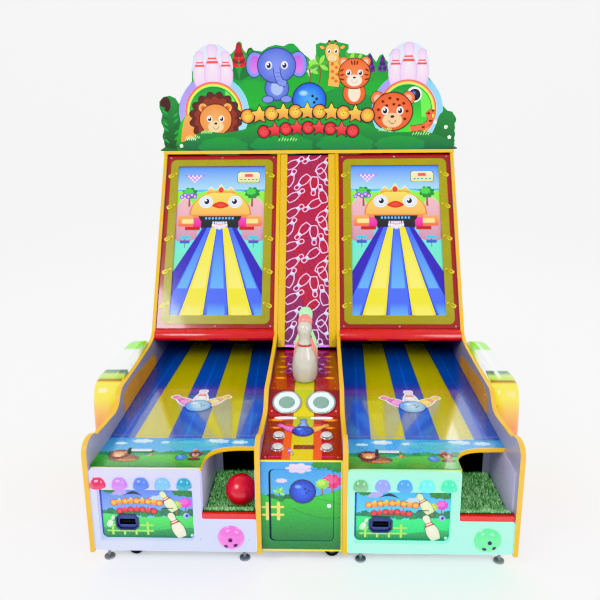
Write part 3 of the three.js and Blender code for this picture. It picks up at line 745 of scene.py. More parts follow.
def domes(word, side):
    """Five half-dome lamps stand in a row over the picture door, flat side down."""
    wide, tall, proud, foot = 33, 46, 26, 374
    rings, spokes = 10, 32
    for number, hue in enumerate(DOME_HUES[word], 1):
        x = DOME_X[word] + DOME_PITCH * (number - 1)
        look = lamp_look(f"dome_{word}_{number}", hue, 0.45)
        build = Build(outward(side * UNIT_X + x, SHELL_FRONT - 0.3, foot))
        verts = []
        for i in range(rings + 1):
            reach, lift = math.cos(i / rings * math.pi / 2), math.sin(i / rings * math.pi / 2)
            for j in range(spokes + 1):
                angle = math.pi * j / spokes
                u = math.copysign(abs(math.cos(angle)) ** 0.86, math.cos(angle))
                verts.append((wide * reach * u, tall * reach * math.sin(angle) - 4 * reach * (1 - abs(u)),
                              proud * lift))
        faces = [(i * (spokes + 1) + j, i * (spokes + 1) + j + 1, (i + 1) * (spokes + 1) + j + 1,
                  (i + 1) * (spokes + 1) + j) for i in range(rings) for j in range(spokes)]
        build.add(verts, faces, 0, None, True)
        base = [(wide * math.cos(t * math.pi / 12), proud * math.sin(t * math.pi / 12)) for t in range(13)]
        build.prism(base, 0, 1.5, 0, panel((0, 1.4, 0), (1, 0, 0), (0, -1, 0)))
        build.finish(f"dome_lamp_{word}_{number}", look, slot="lamp_lens")


def ball_lamps(word, side):
    """A bowling-ball lens with three finger holes, darkened with painted shade, in a clear rim."""
    hues = {"left": "#D860C4", "right": "#50E894"}
    look = lamp_look(f"ball_lens_{word}", hues[word], 0.5)
    place = outward(side * UNIT_X + LAMP["x"], SHELL_FRONT, LAMP["z"])
    radius, proud, steps = LAMP["radius"], LAMP["proud"], 14
    dome = [(radius * math.cos(i / steps * math.pi / 2), 2.5 + proud * math.sin(i / steps * math.pi / 2))
            for i in range(steps)] + [(0, 2.5 + proud)]
    build = Build(place).lathe([(radius - 12, -8), (radius - 12, 0.4), (radius + 4, 0.4), (radius + 4, 2),
                                (radius, 2.5)] + dome[1:], 56)
    for u, v in ((-18, -25), (1, 7), (21, -20)):
        drop = math.sqrt(max(0.05, 1 - (u * u + v * v) / radius ** 2))
        normal = Vector((u / radius ** 2, v / radius ** 2, drop / proud)).normalized()
        hole = panel((u, v, 2.2 + proud * drop), Vector((1, 0, 0)).cross(normal).cross(normal) * -1, normal)
        build.lathe([(9.5, -1), (9.5, 0.8), (8.4, 1.3), (7.8, 0.7), (0, 0.6)], 24, 1, hole)
    lamp = build.finish(f"ball_lens_{word}", [look, "hole"], slot="lamp_lens")
    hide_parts(f"ball_lamp_{word}")


# ---- Lower front ---------------------------------------------------------------------------------
def plate(build, outer, holes, low, high, kind=0):
    """A flat plate with holes, from low to high along w."""
    loops = [anticlockwise(outer)] + [anticlockwise(hole)[::-1] for hole in holes]
    points = [p for loop in loops for p in loop]
    total, triangles = len(points), triangles_of(loops)
    verts = [(u, v, w) for w in (low, high) for u, v in points]
    faces = [tuple(i + total for i in t) for t in triangles] + [tuple(t)[::-1] for t in triangles]
    start = 0
    for loop in loops:
        n = len(loop)
        faces += [(start + i, start + (i + 1) % n, total + start + (i + 1) % n, total + start + i)
                  for i in range(n)]
        start += n
    return build.add(verts, faces, kind)


def front_shell(word, side):
    """The lit acrylic front, rounded at its edges, with a deep recess round the picture door.

    It is full height up to step, and only as high as the ball box's sill beyond."""
    LOOK[f"acrylic_{word}"] = acrylic_look(word, *ACRYLIC_HUES[word])
    name = f"front_panel_{word}"
    low, high = span(name)
    x, half = side * UNIT_X, UNIT_HALF - 0.6
    step, sill, top = 114, 228, 449
    corners = [(-half, low.z), (half, low.z), (half, sill), (step, sill), (step, top), (-half, top)]
    face = smooth_corners([(u, max(v, low.z + 7)) for u, v in corners], 12, 5)
    behind = [(u, min(v, high.z)) for u, v in corners]
    hole = rounded(DOOR["left"] - 2, DOOR["bottom"] - 2, DOOR["right"] + 2, DOOR["top"] + 2, (8, 8, 24, 24))
    recess = rounded(DOOR["left"] - 3.5, DOOR["bottom"] - 2, DOOR["right"] + 2, DOOR["top"] + 11,
                     (8, 6, 6, 24))
    build = Build(outward(x, 0, 0))
    plate(build, behind, [hole], -high.y + 0.2, -low.y)
    plate(build, face, [recess], -FACE_Y + 2.6, -SHELL_FRONT)
    shell = build.finish(f"front_shell_{word}", f"acrylic_{word}", slot="lit_white", bevel=6.5, steps=4,
                         angle=50)
    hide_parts(name)
    screws = Build()
    for u in (106, 309):
        add_screw(screws, outward(x + u, SHELL_FRONT, 134), 4.5)
    for u, v in ((-322, 92), (-322, 415), (92, 92), (322, 92), (98, 415)):
        add_screw(screws, outward(x + u, SHELL_FRONT, v), 3.5)
    screws.finish(f"front_screws_{word}", ["zinc", "hole"], slot="chrome_trim")


def acrylic_look(word, hue, low, high):
    """Milky acrylic lit from behind, in one colour at its foot and another at its top."""
    made = material(f"acrylic_{word}", hue, 0.2, 0.05, coat=0.7, tint=0.92, scale=2.5, glow=1.0)
    tree = made.node_tree
    shader = tree.nodes["Principled BSDF"]
    place = node(tree, "SeparateXYZ")
    tree.links.new(node(tree, "TexCoord").outputs["Object"], place.inputs[0])
    climb = ranged(tree, place.outputs["Z"], 0.0, 1.0, 0.08, 0.44)
    patches = ranged(tree, noise(tree, 3.2, 1.0), 0.0, 0.6)
    light = blended(tree, patches, blended(tree, climb, linear(low), linear(high)), linear(hue))
    tree.links.new(light, shader.inputs["Emission Color"])
    shader.inputs["Emission Strength"].default_value = 0.62
    return made


side_mouldings()
for word, side in SIDES:
    front_shell(word, side)
    domes(word, side)
    ball_lamps(word, side)


# ---- Drawn motifs --------------------------------------------------------------------------------
PIN_SIDE = ((0.128, 0.0), (0.150, 0.03), (0.186, 0.14), (0.207, 0.3), (0.197, 0.42), (0.157, 0.55),
            (0.108, 0.66), (0.095, 0.72), (0.103, 0.79), (0.118, 0.86), (0.112, 0.92), (0.075, 0.98))
INK = "#2A2433"


def pin_outline(height, grow=0.0):
    loop = [(r + grow, z + (grow if z > 0.5 else -grow * (z < 0.02))) for r, z in PIN_SIDE]
    loop += [(0, 1.0 + grow)] + [(-r, z) for r, z in loop[::-1]]
    return [(u * height, v * height) for u, v in smooth_loop(loop, 2)]


def pin_width(share):
    for (r0, z0), (r1, z1) in zip(PIN_SIDE, PIN_SIDE[1:]):
        if z0 <= share <= z1:
            return r0 + (r1 - r0) * (share - z0) / (z1 - z0)
    return PIN_SIDE[-1][0]


def draw_pin(art, u, v, height, turn=0, body="#FFFDF6", edge="#C9C4D8", line=INK, bands="#E0301C", grow=0.02):
    place = {"du": u, "dv": v, "turn": turn}
    if line:
        art.lay(moved_shape(pin_outline(height, grow), **place), line)
    art.lay(moved_shape(pin_outline(height), **place), body, rim=edge)
    for low, high in ((0.56, 0.62), (0.66, 0.70)) if bands else ():
        wide, narrow = pin_width(low) * height, pin_width(high) * height
        stripe = [(-wide, low * height), (wide, low * height), (narrow, high * height),
                  (-narrow, high * height)]
        art.lay(moved_shape(stripe, **place), bands)


def puff(cu, cv, ru, rv, bumps=9, depth=0.12, steps=5):
    """A bush or cloud outline, bumpy all round."""
    points = []
    for i in range(bumps * steps):
        angle = 2 * math.pi * i / (bumps * steps)
        swell = 1 - depth + depth * abs(math.sin(angle * bumps / 2)) * 2
        points.append((cu + ru * swell * math.cos(angle), cv + rv * swell * math.sin(angle)))
    return points


def leaf(u, v, length, width, turn):
    side = [(0, 0), (0.25, 0.32), (0.55, 0.5), (0.85, 0.28), (1, 0)]
    loop = [(a * length, b * width) for a, b in side] + [(a * length, -b * width) for a, b in side[-2:0:-1]]
    return moved_shape(loop, u, v, turn)


def draw_tree(art, u, v, height, crown, light, trunk="#8A5A34"):
    wide = height * 0.05
    art.lay([(u - wide, v), (u + wide, v), (u + wide * 0.7, v + height * 0.6),
             (u - wide * 0.7, v + height * 0.6)], trunk)
    art.lay(puff(u, v + height * 0.7, height * 0.34, height * 0.28, 8), crown)
    art.lay(puff(u - height * 0.06, v + height * 0.76, height * 0.22, height * 0.16, 7), light)


def draw_palm(art, u, v, height, colour="#2E9A48", light="#78CC58"):
    art.line([(u, v), (u + height * 0.06, v + height * 0.35), (u, v + height * 0.7)], height * 0.07,
             "#8A6A3A")
    for number, turn in enumerate((15, 60, 110, 160, 200, -30)):
        art.lay(leaf(u, v + height * 0.7, height * 0.42, height * 0.17, turn),
                light if number % 2 else colour)


def draw_flower(art, u, v, radius, petal, heart="#FFE040"):
    pen = art.at(u, v, radius)
    for k in range(5):
        turn = math.radians(72 * k + 90)
        pen.disc(0.6 * math.cos(turn), 0.6 * math.sin(turn), 0.45, 10, petal)
    pen.disc(0, 0, 0.35, 10, heart)


def draw_cloud(art, u, v, size, colour="#FFFFFF", fade=None):
    art.lay(puff(u, v, size, size * 0.42, 7, 0.16), colour, fade=fade)


def draw_fence(art, u, v, width, height, colour="#F0D878", line="#7A6A2A"):
    for share in (0.3, 0.72):
        rail = v + height * share
        art.lay(rounded(u, rail - height * 0.05, u + width, rail + height * 0.05, 1), colour)
    posts = max(2, round(width / (height * 0.8)))
    for k in range(posts):
        x = u + width * (k + 0.5) / posts
        half = height * 0.07
        art.lay(rounded(x - half - 0.8, v - 0.8, x + half + 0.8, v + height + 0.8, half * 0.8), line)
        art.lay(rounded(x - half, v, x + half, v + height, half * 0.8), colour)


def draw_ball(art, u, v, radius, colour="#2C7CF0", dark="#1238A0", light="#9CD4FF"):
    pen = art.at(u, v, radius)
    pen.disc(0, 0, 1.06, 32, INK)
    pen.disc(0, 0, 1, 32, colour, rim=dark)
    pen.disc(-0.35, 0.42, (0.3, 0.18), 16, light, rim=colour)
    for du, dv in ((0.2, 0.25), (0.45, 0.08), (0.3, -0.12)):
        pen.disc(du, dv, (0.09, 0.1), 10, "#0C1C50")


def draw_eye(art, u, v, radius, colour="#2A1A12"):
    pen = art.at(u, v, radius)
    pen.disc(0, 0, (1.18, 1.3), 18, "#FFFFFF")
    pen.disc(0, -0.05, (0.86, 1), 18, colour)
    pen.disc(-0.25, 0.35, 0.3, 10, "#FFFFFF")


def draw_smile(art, u, v, width, thick):
    shares = (-0.5, -0.3, -0.1, 0.1, 0.3, 0.5)
    art.line([(u + width * t, v - width * 0.5 * (1 - (2 * t) ** 2)) for t in shares], thick, INK)


def wavy(u0, u1, v, height, waves, floor):
    """Ground with a rolling top edge, down to a floor."""
    steps = 6
    count = waves * steps
    top = [(u0 + (u1 - u0) * i / count, v + height * math.sin(math.pi * i / steps + waves))
           for i in range(count + 1)]
    return [(u0, floor), (u1, floor)] + top[::-1]


# ---- Animals, drawn plainly from round shapes, in units of the head's radius -----------------------
def draw_head(art, u, v, radius, fur, shade, ears, ear_fill, muzzle):
    """A round head with two ears, eyes and a smile; ears are (across, up, radius)."""
    pen = art.at(u, v, radius)
    across, up, size = ears
    for side in (-1, 1):
        for grow, colour, steps in ((1.12, INK, 20), (1, fur, 20), (0.55, ear_fill, 16)):
            pen.disc(side * across, up, size * grow, steps, colour)
    pen.disc(0, 0, (1.06, 0.98), 36, INK)
    pen.disc(0, 0, (1, 0.92), 36, fur, rim=shade)
    pen.disc(0, -0.42, (0.5, 0.36), 24, muzzle)
    for side in (-1, 1):
        draw_eye(pen, side * 0.38, 0.05, 0.15)
    pen.disc(0, -0.24, (0.12, 0.08), 14, "#4A2A22")
    draw_smile(pen, 0, -0.4, 0.4, 0.05)


def draw_lion(art, u, v, radius):
    pen = art.at(u, v, radius)
    for grow, colour in ((1.62, INK), (1.56, "#6E2A1C")):
        pen.lay(puff(0, 0, grow, grow * 0.95, 16, 0.07), colour)
    pen.lay(puff(0, 0, 1.3, 1.24, 14, 0.07), "#94402A")
    draw_head(pen, 0, -0.08, 1, "#F6C070", "#E09A44", (0.78, 0.72, 0.26), "#C8742E", "#FFE6B8")


def draw_elephant(art, u, v, radius):
    fur, shade, line = "#8C9CDC", "#6478C0", "#3C3A78"
    pen = art.at(u, v, radius)
    pen.disc(0, -1.15, (0.67, 0.65), 32, line)
    pen.disc(0, -1.15, (0.62, 0.6), 32, fur, rim=shade)
    pen.disc(0, -1.15, (0.32, 0.36), 20, "#B8CCF4")
    for side in (-1, 1):
        pen.disc(side * 0.5, -1.72, (0.33, 0.2), 20, line)
        pen.disc(side * 0.5, -1.72, (0.28, 0.16), 20, fur)
        ear = [(0.75, 0.5), (1.25, 0.72), (1.6, 0.35), (1.62, -0.25), (1.3, -0.6), (0.85, -0.4)]
        loop = smooth_loop([(side * a, b) for a, b in ear], 6)
        pen.lay(loop, line)
        grown = inset(anticlockwise(loop), 0.05)
        pen.lay(grown, fur)
        pen.lay(inset(grown, 0.16), "#D08CD8", fade="#B46CC8")
    pen.disc(0, 0, (1.05, 0.92), 36, line)
    pen.disc(0, 0, (1, 0.87), 36, fur, rim=shade)
    for side in (-1, 1):
        draw_eye(pen, side * 0.42, 0.02, 0.15, "#2A2A5C")
    trunk = [(0, -0.1), (0.04, -0.5), (0.2, -0.85), (0.48, -0.92)]
    pen.line(trunk, 0.4, line)
    pen.line(trunk, 0.31, fur)
    for down in (0.35, 0.55, 0.75):
        pen.line([(-0.08, -down), (0.2, -down)], 0.03, shade)


def draw_giraffe(art, u, v, radius):
    fur, line = "#F4C45C", "#7A4A1C"
    pen = art.at(u, v, radius)
    neck = [(0.1, -2.9), (0.25, -1.6), (0.1, 0)]
    pen.line(neck, 1.12, line)
    pen.line(neck, 1.0, fur)
    for du, dv in ((0.0, -0.95), (0.38, -1.25), (0.02, -1.6), (0.42, -1.85), (0.05, -2.2), (0.35, -2.45)):
        pen.lay(puff(du, dv, 0.17, 0.15, 5, 0.1, 3), "#C8782C")
    for side in (-1, 1):
        pen.line([(side * 0.25, 0.6), (side * 0.3, 1.0)], 0.13, "#D89A3C")
        pen.disc(side * 0.3, 1.05, 0.13, 12, "#6A3A20")
        ear = leaf(side * 0.6, 0.4, 0.7, 0.4, 20 if side > 0 else 160)
        pen.lay(ear, line)
        pen.lay(inset(anticlockwise(ear), 0.06), fur)
    head = [(-0.62, 0.1), (-0.5, 0.62), (0, 0.8), (0.5, 0.62), (0.62, 0.1), (0.42, -0.55), (0, -0.75),
            (-0.42, -0.55)]
    for grow, colour in ((1.08, line), (1.0, "#FBD26C")):
        pen.blob([(a * grow, b * grow) for a, b in head], colour)
    pen.disc(0, -0.42, (0.42, 0.3), 20, "#FFE9B4")
    for side in (-1, 1):
        draw_eye(pen, side * 0.32, 0.18, 0.16)
        pen.disc(side * 0.12, -0.36, 0.05, 8, line)
    draw_smile(pen, 0, -0.48, 0.36, 0.05)


def draw_tiger(art, u, v, radius):
    stripe = "#5A2A12"
    pen = art.at(u, v, radius)
    pen.disc(0, -1.2, (0.763, 0.78), 28, INK)
    pen.disc(0, -1.2, 0.72, 28, "#F09034", rim="#D46E1C")
    pen.disc(0, -1.2, (0.4, 0.55), 20, "#FFF2DC")
    draw_head(pen, 0, 0, 1, "#F79A3A", "#DC7420", (0.72, 0.72, 0.3), "#FFD8C0", "#FFF4E4")
    for side in (-1, 1):
        for turn, dv in ((150, 0.12), (172, -0.1), (195, -0.3)):
            pen.lay(leaf(side * 0.98, dv, 0.36, 0.12, turn if side > 0 else 180 - turn), stripe)
    for du in (-0.22, 0, 0.22):
        pen.lay(leaf(du, 0.86, 0.38, 0.12, -90 - du * 60), stripe)


def draw_leopard(art, u, v, radius):
    pen = art.at(u, v, radius)
    draw_head(pen, 0, 0, 1, "#EC8A3C", "#D26A24", (0.78, 0.66, 0.32), "#FFD0B0", "#FFDDB0")
    spots = ((-0.5, 0.5), (-0.15, 0.66), (0.25, 0.6), (0.56, 0.4), (-0.72, 0.1), (0.74, 0.02), (0.06, 0.36),
             (-0.66, -0.3), (0.64, -0.36), (-0.3, 0.3), (0.34, 0.3))
    for du, dv in spots:
        pen.lay(puff(du, dv, 0.085, 0.075, 5, 0.15, 3), "#7A1C10")


# ---- Lanes ---------------------------------------------------------------------------------------
LANE_BLUE, LANE_GOLD = "#2050B0", "#B0A818"


def lane_print(word, side):
    """Printed lane: five stripes that draw together towards the pins, a painted shadow darkening their far
    end, and a fan of pins with a ball.
    """
    x = side * UNIT_X
    upward = Vector((0, -math.sin(LANE_SLOPE), math.cos(LANE_SLOPE)))
    start = Vector((x, COUNTER_BACK + 0.5, COUNTER_TOP + 0.02))
    length = (LANE_END - COUNTER_BACK - 1) / math.cos(LANE_SLOPE)
    half = UNIT_HALF - 0.5
    art = Print(panel(start, (1, 0, 0), upward), box(-half, 0, half, length), depth=1.0)
    taper = 0.135 * length / 1038
    edges = [-half * 1.3, -226.5, -75.5, 75.5, 226.5, half * 1.3]
    narrowed = 1 - taper
    stripes = [(a, b, LANE_BLUE if number % 2 == 0 else LANE_GOLD) for number,
               (a, b) in enumerate(zip(edges, edges[1:]))]
    for a, b, hue in stripes:
        art.lay([(a, 0), (b, 0), (b * narrowed, length), (a * narrowed, length)], hue)
    for a, b, hue in stripes[::2]:
        middle = (max(a, -half) + min(b, half)) / 2
        far = middle * narrowed
        art.lay([(middle - 6, 0), (middle + 6, 0), (far + 4, length), (far - 4, length)], "#2A60CC")
    # Painted shadow: from here to the far end the stripes darken, standing for the rail's shade over the
    # lane's end.
    shade = 0.84
    shadow_width, shadow_start = 1 - taper * shade, length * shade
    for a, b, hue in stripes:
        art.lay([(a * shadow_width, shadow_start), (b * shadow_width, shadow_start), (b * narrowed, length),
                 (a * narrowed, length)], hue, fade="#10182C" if hue == LANE_BLUE else "#2C2C10")
    art.rect(-half, 24, half, 26, "#88A4D8")
    fan = ((48, "#FFB4D8", "#E070B4", "#C83C94"), (0, "#FFFFFF", "#C8CCE8", "#E8401C"),
           (-48, "#FFF0A0", "#E4B83C", "#E8701C"))
    for turn, hue, edge, bands in fan:
        draw_pin(art, -turn / 2, 330 if turn else 350, 160, turn, hue, edge, "#FFFFFF", bands, 0.035)
    draw_ball(art, 0, 326, 62, "#A8D4F8", "#5C9CE0", "#F0FAFF")
    art.finish(f"lane_print_{word}", "lane", slot="printed_lane")


# ---- Screens -------------------------------------------------------------------------------------
ALLEY_BLUE, ALLEY_GOLD, ALLEY_EDGE = "#2C74F0", "#DCD414", "#4028A8"
FAN = ((-1.62, -1.22, ALLEY_EDGE), (-1.22, -0.82, ALLEY_BLUE), (-0.82, -0.28, ALLEY_GOLD),
       (-0.28, 0.28, ALLEY_BLUE), (0.28, 0.82, ALLEY_GOLD), (0.82, 1.22, ALLEY_BLUE),
       (1.22, 1.62, ALLEY_EDGE))


def draw_alley_game(art):
    """The game on a screen: a lane that runs up to a lit pit under a domed roof, in a park."""
    wide, high = DISPLAY.x / 2, DISPLAY.y
    art.rect(-wide, 0, wide, high, "#8CDC50", fade="#4CB4F4")
    art.rect(-wide, high * 0.84, wide, high, "#BCE8FF", fade="#3C9CF4")
    art.lay(wavy(-wide, wide, high * 0.83, 12, 3, high * 0.6), "#6CC84C", fade="#9CE45C")
    for side in (-1, 1):
        art.blob([(side * wide, high * 0.5), (side * wide, high * 0.72), (side * wide * 0.74, high * 0.78),
                  (side * wide * 0.52, high * 0.62), (side * wide * 0.55, high * 0.5)], "#B08CA0",
                 fade="#D8B4B8")
        draw_tree(art, side * wide * 0.72, high * 0.72, 130, "#2E8A48", "#58B85C")
    for k in range(5):
        draw_flower(art, -wide * 0.9 + 20 * k, high * (0.79 + 0.012 * (k % 2)), 15, "#9468E0")
    for side in (-1, 1):
        art.lay(rounded(side * 190 - 62, high * 0.585, side * 190 + 62, high * 0.655, 8), "#F07018",
                fade="#FFC040")
        art.lay(rounded(side * 190 - 40, high * 0.605, side * 190 + 40, high * 0.635, 6), "#FFF0A0")
        art.rect(side * 112, high * 0.58, side * 160, high * 0.665, "#C81890", fade="#F04CC0")
        art.rect(side * 118, high * 0.56, side * 208, high * 0.583, "#B02018")
        for dv, hue in ((0.50, "#48B8C8"), (0.47, "#4868B0")):
            art.lay(rounded(side * 205 - 30, high * dv, side * 205 + 30, high * (dv + 0.02), 5), hue)
            art.line([(side * 205, high * (dv - 0.03)), (side * 205, high * dv)], 5, "#8A5A34")
    art.lay(arc(0, high * 0.662, 186, 158, 0, 180, 28), "#C87C10")
    art.lay(arc(0, high * 0.665, 178, 150, 0, 180, 28), "#FFC81C", fade="#FFEE50")
    art.lay([(-178, high * 0.665), (178, high * 0.665), (150, high * 0.643), (-150, high * 0.643)], "#E89A14")
    for du in (-60, 0, 60):
        art.lay([(du - 34, high * 0.815), (du + 34, high * 0.815), (du, high * 0.875 - abs(du) * 0.3)],
                "#E8A018", fade="#FFF07C")
    art.disc(0, high * 0.835, (15, 19), 20, "#F04060", rim="#B01030")
    for side in (-1, 1):
        art.disc(side * 88, high * 0.752, (42, 40), 28, "#FFFFFF", rim="#DCE8F8")
        art.disc(side * 84, high * 0.755, (17, 19), 20, "#2C2434")
        art.disc(side * 84 - 6, high * 0.763, 6, 12, "#FFFFFF")
    art.blob([(-52, high * 0.727), (0, high * 0.755), (52, high * 0.727), (0, high * 0.705)], "#E8501C",
             steps=8, rim="#B03010")
    art.lay([(-132, high * 0.655), (132, high * 0.655), (118, high * 0.625), (-118, high * 0.625)], "#1C2430")
    for k in range(9):
        art.lay(rounded(-88 + 20 * k, high * 0.632, -78 + 20 * k, high * 0.646, 3), "#78C8F8")
    art.rect(-112, high * 0.57, 112, high * 0.63, "#16161C", fade="#30303C")
    peak, near, far = high * 0.575, wide * 0.98, 62
    for left, right, hue in FAN:
        art.lay([(left * near, 0), (right * near, 0), (right * far, peak), (left * far, peak)], hue)
    for left, right, hue in FAN[1:-1]:
        glow = "#5CC4FF" if hue == ALLEY_BLUE else "#FFF878"
        middle, half = (left + right) / 2, (right - left) * 0.36
        for low, top in ((0.0, 0.14), (0.3, 0.92)):
            quad = [((middle + half * hand) * (near + (far - near) * t), peak * t) for hand,
                    t in ((-1, low), (1, low), (1, top), (-1, top))]
            art.lay(quad, glow, fade=hue)
    for left, right, hue in FAN[1:]:
        art.lay([(left * near - 3, 0), (left * near + 3, 0), (left * far + 1, peak),
                 (left * far - 1, peak)], "#1C3CA0")
    for row in range(4):
        count = 4 - row
        for k in range(count):
            draw_pin(art, (k - (count - 1) / 2) * (26 - row * 2), high * (0.578 - row * 0.006),
                     36 + row * 5, 0, line="#8890B8")
    rack = [(-wide + 35, high * 0.945), (-wide + 165, high * 0.945), (-wide + 100, high * 0.89)]
    art.lay(rack, "#7C50D8", fade="#C878F8")
    for row in range(4):
        for k in range(4 - row):
            art.disc(-wide + 62 + row * 12.5 + 25 * k, high * 0.935 - row * 12, (7, 8), 12, "#FFF0FF")
    art.lay(rounded(wide - 170, high * 0.885, wide - 28, high * 0.965, 14), "#2E7C48")
    art.lay(rounded(wide - 164, high * 0.891, wide - 34, high * 0.959, 12), "#FFE9A0", fade="#FFF8D8")
    for k in range(5):
        art.lay(rounded(wide - 152 + 23 * k, high * 0.902, wide - 135 + 23 * k, high * 0.918, 3), "#48A0A8")
    art.lay(rounded(wide - 124, high * 0.928, wide - 74, high * 0.95, 5), "#E85060")


def screen(word, side):
    """The lit picture, the painted frame round it, the pin-shaped clips and the frame's screws."""
    x = side * UNIT_X
    wide, high = DISPLAY
    low = DISPLAY_MIDDLE - high / 2
    place = screen_place(x, 22.5) @ moved(0, low, 0)
    art = Print(place, box(-wide / 2, 0, wide / 2, high))
    draw_alley_game(art)
    art.finish(f"screen_picture_{word}", "picture", slot="display_glass")
    front = screen_place(x, 12)
    frame_outer = rounded(-UNIT_HALF + 26, 48, UNIT_HALF - 26, SCREEN_LENGTH - 34, 34, 8)
    opening = box(-wide / 2, low, wide / 2, low + high)
    build = Build(front)
    plate(build, frame_outer, [opening], 0.3, 3.3)
    build.finish(f"screen_frame_{word}", "olive", slot="red_gloss", bevel=0.8)
    clips = Build(front)
    for v in (160, 365, 570, 775, 980):
        for hand in (-1, 1):
            u = hand * (UNIT_HALF - 38)
            spot = moved(u, v, 3.4) @ turned("Z", 62 * hand)
            clips.prism([(a, b - 24) for a, b in pin_outline(56)], 0, 3.5, 0, spot)
            clips.prism([(a * 0.7, b - 16) for a, b in pin_outline(42)], 3.5, 4.6, 1, spot)
            clips.block(-9, 9, 12, 14, 4.6, 4.9, 2, spot)
    clips.finish(f"screen_clips_{word}", ["clip", "olive", "lip"], slot="red_gloss", bevel=0.4, steps=1)
    screws = Build(front)
    for v in (36, SCREEN_LENGTH - 19):
        for u in (-UNIT_HALF + 22, 0, UNIT_HALF - 22):
            add_screw(screws, moved(u, v, 0.1), 5)
    screws.finish(f"screen_screws_{word}", ["zinc", "hole"], slot="chrome_trim")


def screen_rail(word, side):
    """The red rail under a screen, with a rounded nose."""
    lip = Build()
    section = [(214, 690), (186, 684.5), (171, 671), (165.5, 657), (164, 648), (166, 640.5), (171, 637),
               (180, 636), (226, 636), (228, 683)]
    curve = smooth_loop(section[:8], 4)[:29] + section[8:]
    lip.prism(curve, -UNIT_HALF, UNIT_HALF, 0, panel((side * UNIT_X, 0, 0), (0, 1, 0), (1, 0, 0)))
    rail = lip.finish(f"screen_rail_{word}", "lip", slot="red_gloss", bevel=1.2, angle=50)
    for face in rail.data.polygons:
        face.use_smooth = len(face.vertices) == 4
    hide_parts(f"screen_lip_{word}")


for word, side in SIDES:
    lane_print(word, side)
    screen(word, side)
    screen_rail(word, side)


# ---- Centre column -------------------------------------------------------------------------------
def console_bends():
    loop = [corner[1:] for corner in face_loop("console_panel", 0)]
    return sorted((y, max(q for p, q in loop if p == y)) for y in {p for p, q in loop})


def console_stretches():
    """Each flat stretch of the console: its start and end along the surface, and its place."""
    start, stretches = 0, []
    bends = console_bends()
    for (y0, z0), (y1, z1) in zip(bends, bends[1:]):
        rise = Vector((0, y1 - y0, z1 - z0))
        outward_way = Vector((0, -rise.z, rise.y)).normalized()
        place = panel((0, y0, z0), (1, 0, 0), outward_way) @ moved(0, -start, 0)
        stretches.append((start, start + rise.length, place, y0, y1))
        start += rise.length
    return stretches


def on_console(x, y):
    """A place on the console over (x, y), square to its surface."""
    for start, end, place, y0, y1 in console_stretches():
        if y0 <= y <= y1:
            return place @ moved(x, start + (end - start) * (y - y0) / (y1 - y0))
    raise ValueError(y)


def draw_console(art):
    wide, end = CENTRE_HALF, 1117
    art.rect(-wide, 0, wide, end, "#B80C10", fade="#98081A")
    art.rect(-wide, 690, wide, end, "#A00C1A", fade="#AC1018")
    for side in (-1, 1):
        art.lay([(side * 44, 0), (side * 82, 0), (side * 80, 300), (side * 44, 300)], "#F07A1C",
                fade="#E46418")
        art.lay([(side * 44, 300), (side * 80, 300), (side * 72, 640), (side * 44, 640)], "#C0541C",
                fade="#98341C")
        art.lay([(side * 50, 700), (side * 100, 740), (side * 92, 1010), (side * 50, 1020)], "#8C1C5C",
                fade="#A02468")
    art.rect(-46, 0, 46, 660, "#E0D018", fade="#B8C400")
    for s, length, thick in ((1005, 30, 16), (935, 14, 9), (845, 32, 16), (772, 15, 9), (690, 34, 17),
                             (340, 40, 15), (267, 26, 10)):
        for side in (-1, 1):
            u = side * (122 if s > 600 else 119)
            art.disc(u, s, (length, thick), 20, "#F08A18", rim="#D84818")
            art.disc(u, s, (length * 0.6, thick * 0.5), 16, "#F8C828")
    for side in (-1, 1):
        for s, u0, u1 in ((135, 78, 132), (24, 74, 134)):
            art.lay(rounded(side * (u0 + u1) / 2 - 29, s - 3, side * (u0 + u1) / 2 + 29, s + 3, 3), "#E8489C")
        for s in (640, 560, 408, 20):
            art.disc(side * 148, s, (3.4, 5), 10, "#FFB0A0")
        for s, turn in ((800, 20), (900, 200), (980, 60)):
            draw_pin_line(art, side * 82, s, 86, turn * side, "#D87CE8")
    art.lay(rounded(-36, 82, 52, 118, 5), "#A8482C", fade="#8C5030")
    draw_pin_line(art, -48, 60, 60, 14, "#6C6CF0")
    for turn, hue, edge in ((56, "#F0A0DC", "#C85CB4"), (-56, "#F8D870", "#D8983C"),
                            (0, "#A8C8F0", "#6C8CC8")):
        draw_pin(art, -turn * 0.3, 232, 118, turn, hue, edge, "#5A2C78", None, 0.02)
    draw_ball(art, 0, 236, 46)


def draw_pin_line(art, u, v, height, turn, colour="#F4D8FF"):
    """The outline of a pin, lit like a tube, with a pale neck."""
    outline = [(p, q - height / 2) for p, q in pin_outline(height)]
    art.band(moved_shape(outline, u, v, turn), 3.6, colour)
    collar = [(-0.1 * height, 0.62 * height), (0.1 * height, 0.62 * height), (0.09 * height, 0.76 * height),
              (-0.09 * height, 0.76 * height)]
    art.lay(moved_shape([(p, q - height / 2) for p, q in collar], u, v, turn), "#A8B4FF", fade="#FFFFFF")


def console_print():
    """The console's picture, one print for each flat stretch, and two lit bars."""
    wide = CENTRE_HALF - 0.4
    for number, (start, end, place, *_) in enumerate(console_stretches(), 1):
        art = Print(place, box(-wide, start, wide, end), lift=0.2, step=0.06)
        draw_console(art)
        art.finish(f"console_print_{number}", slot="printed_panel")
    marks = Build(console_stretches()[0][2])
    for side in (-1, 1):
        marks.prism(arc(side * 82, 357, 50, 9), 0.8, 3.4, 0)
    marks.finish("console_light_bars", "lit_white_bar", slot="lamp_lens", bevel=0.5)


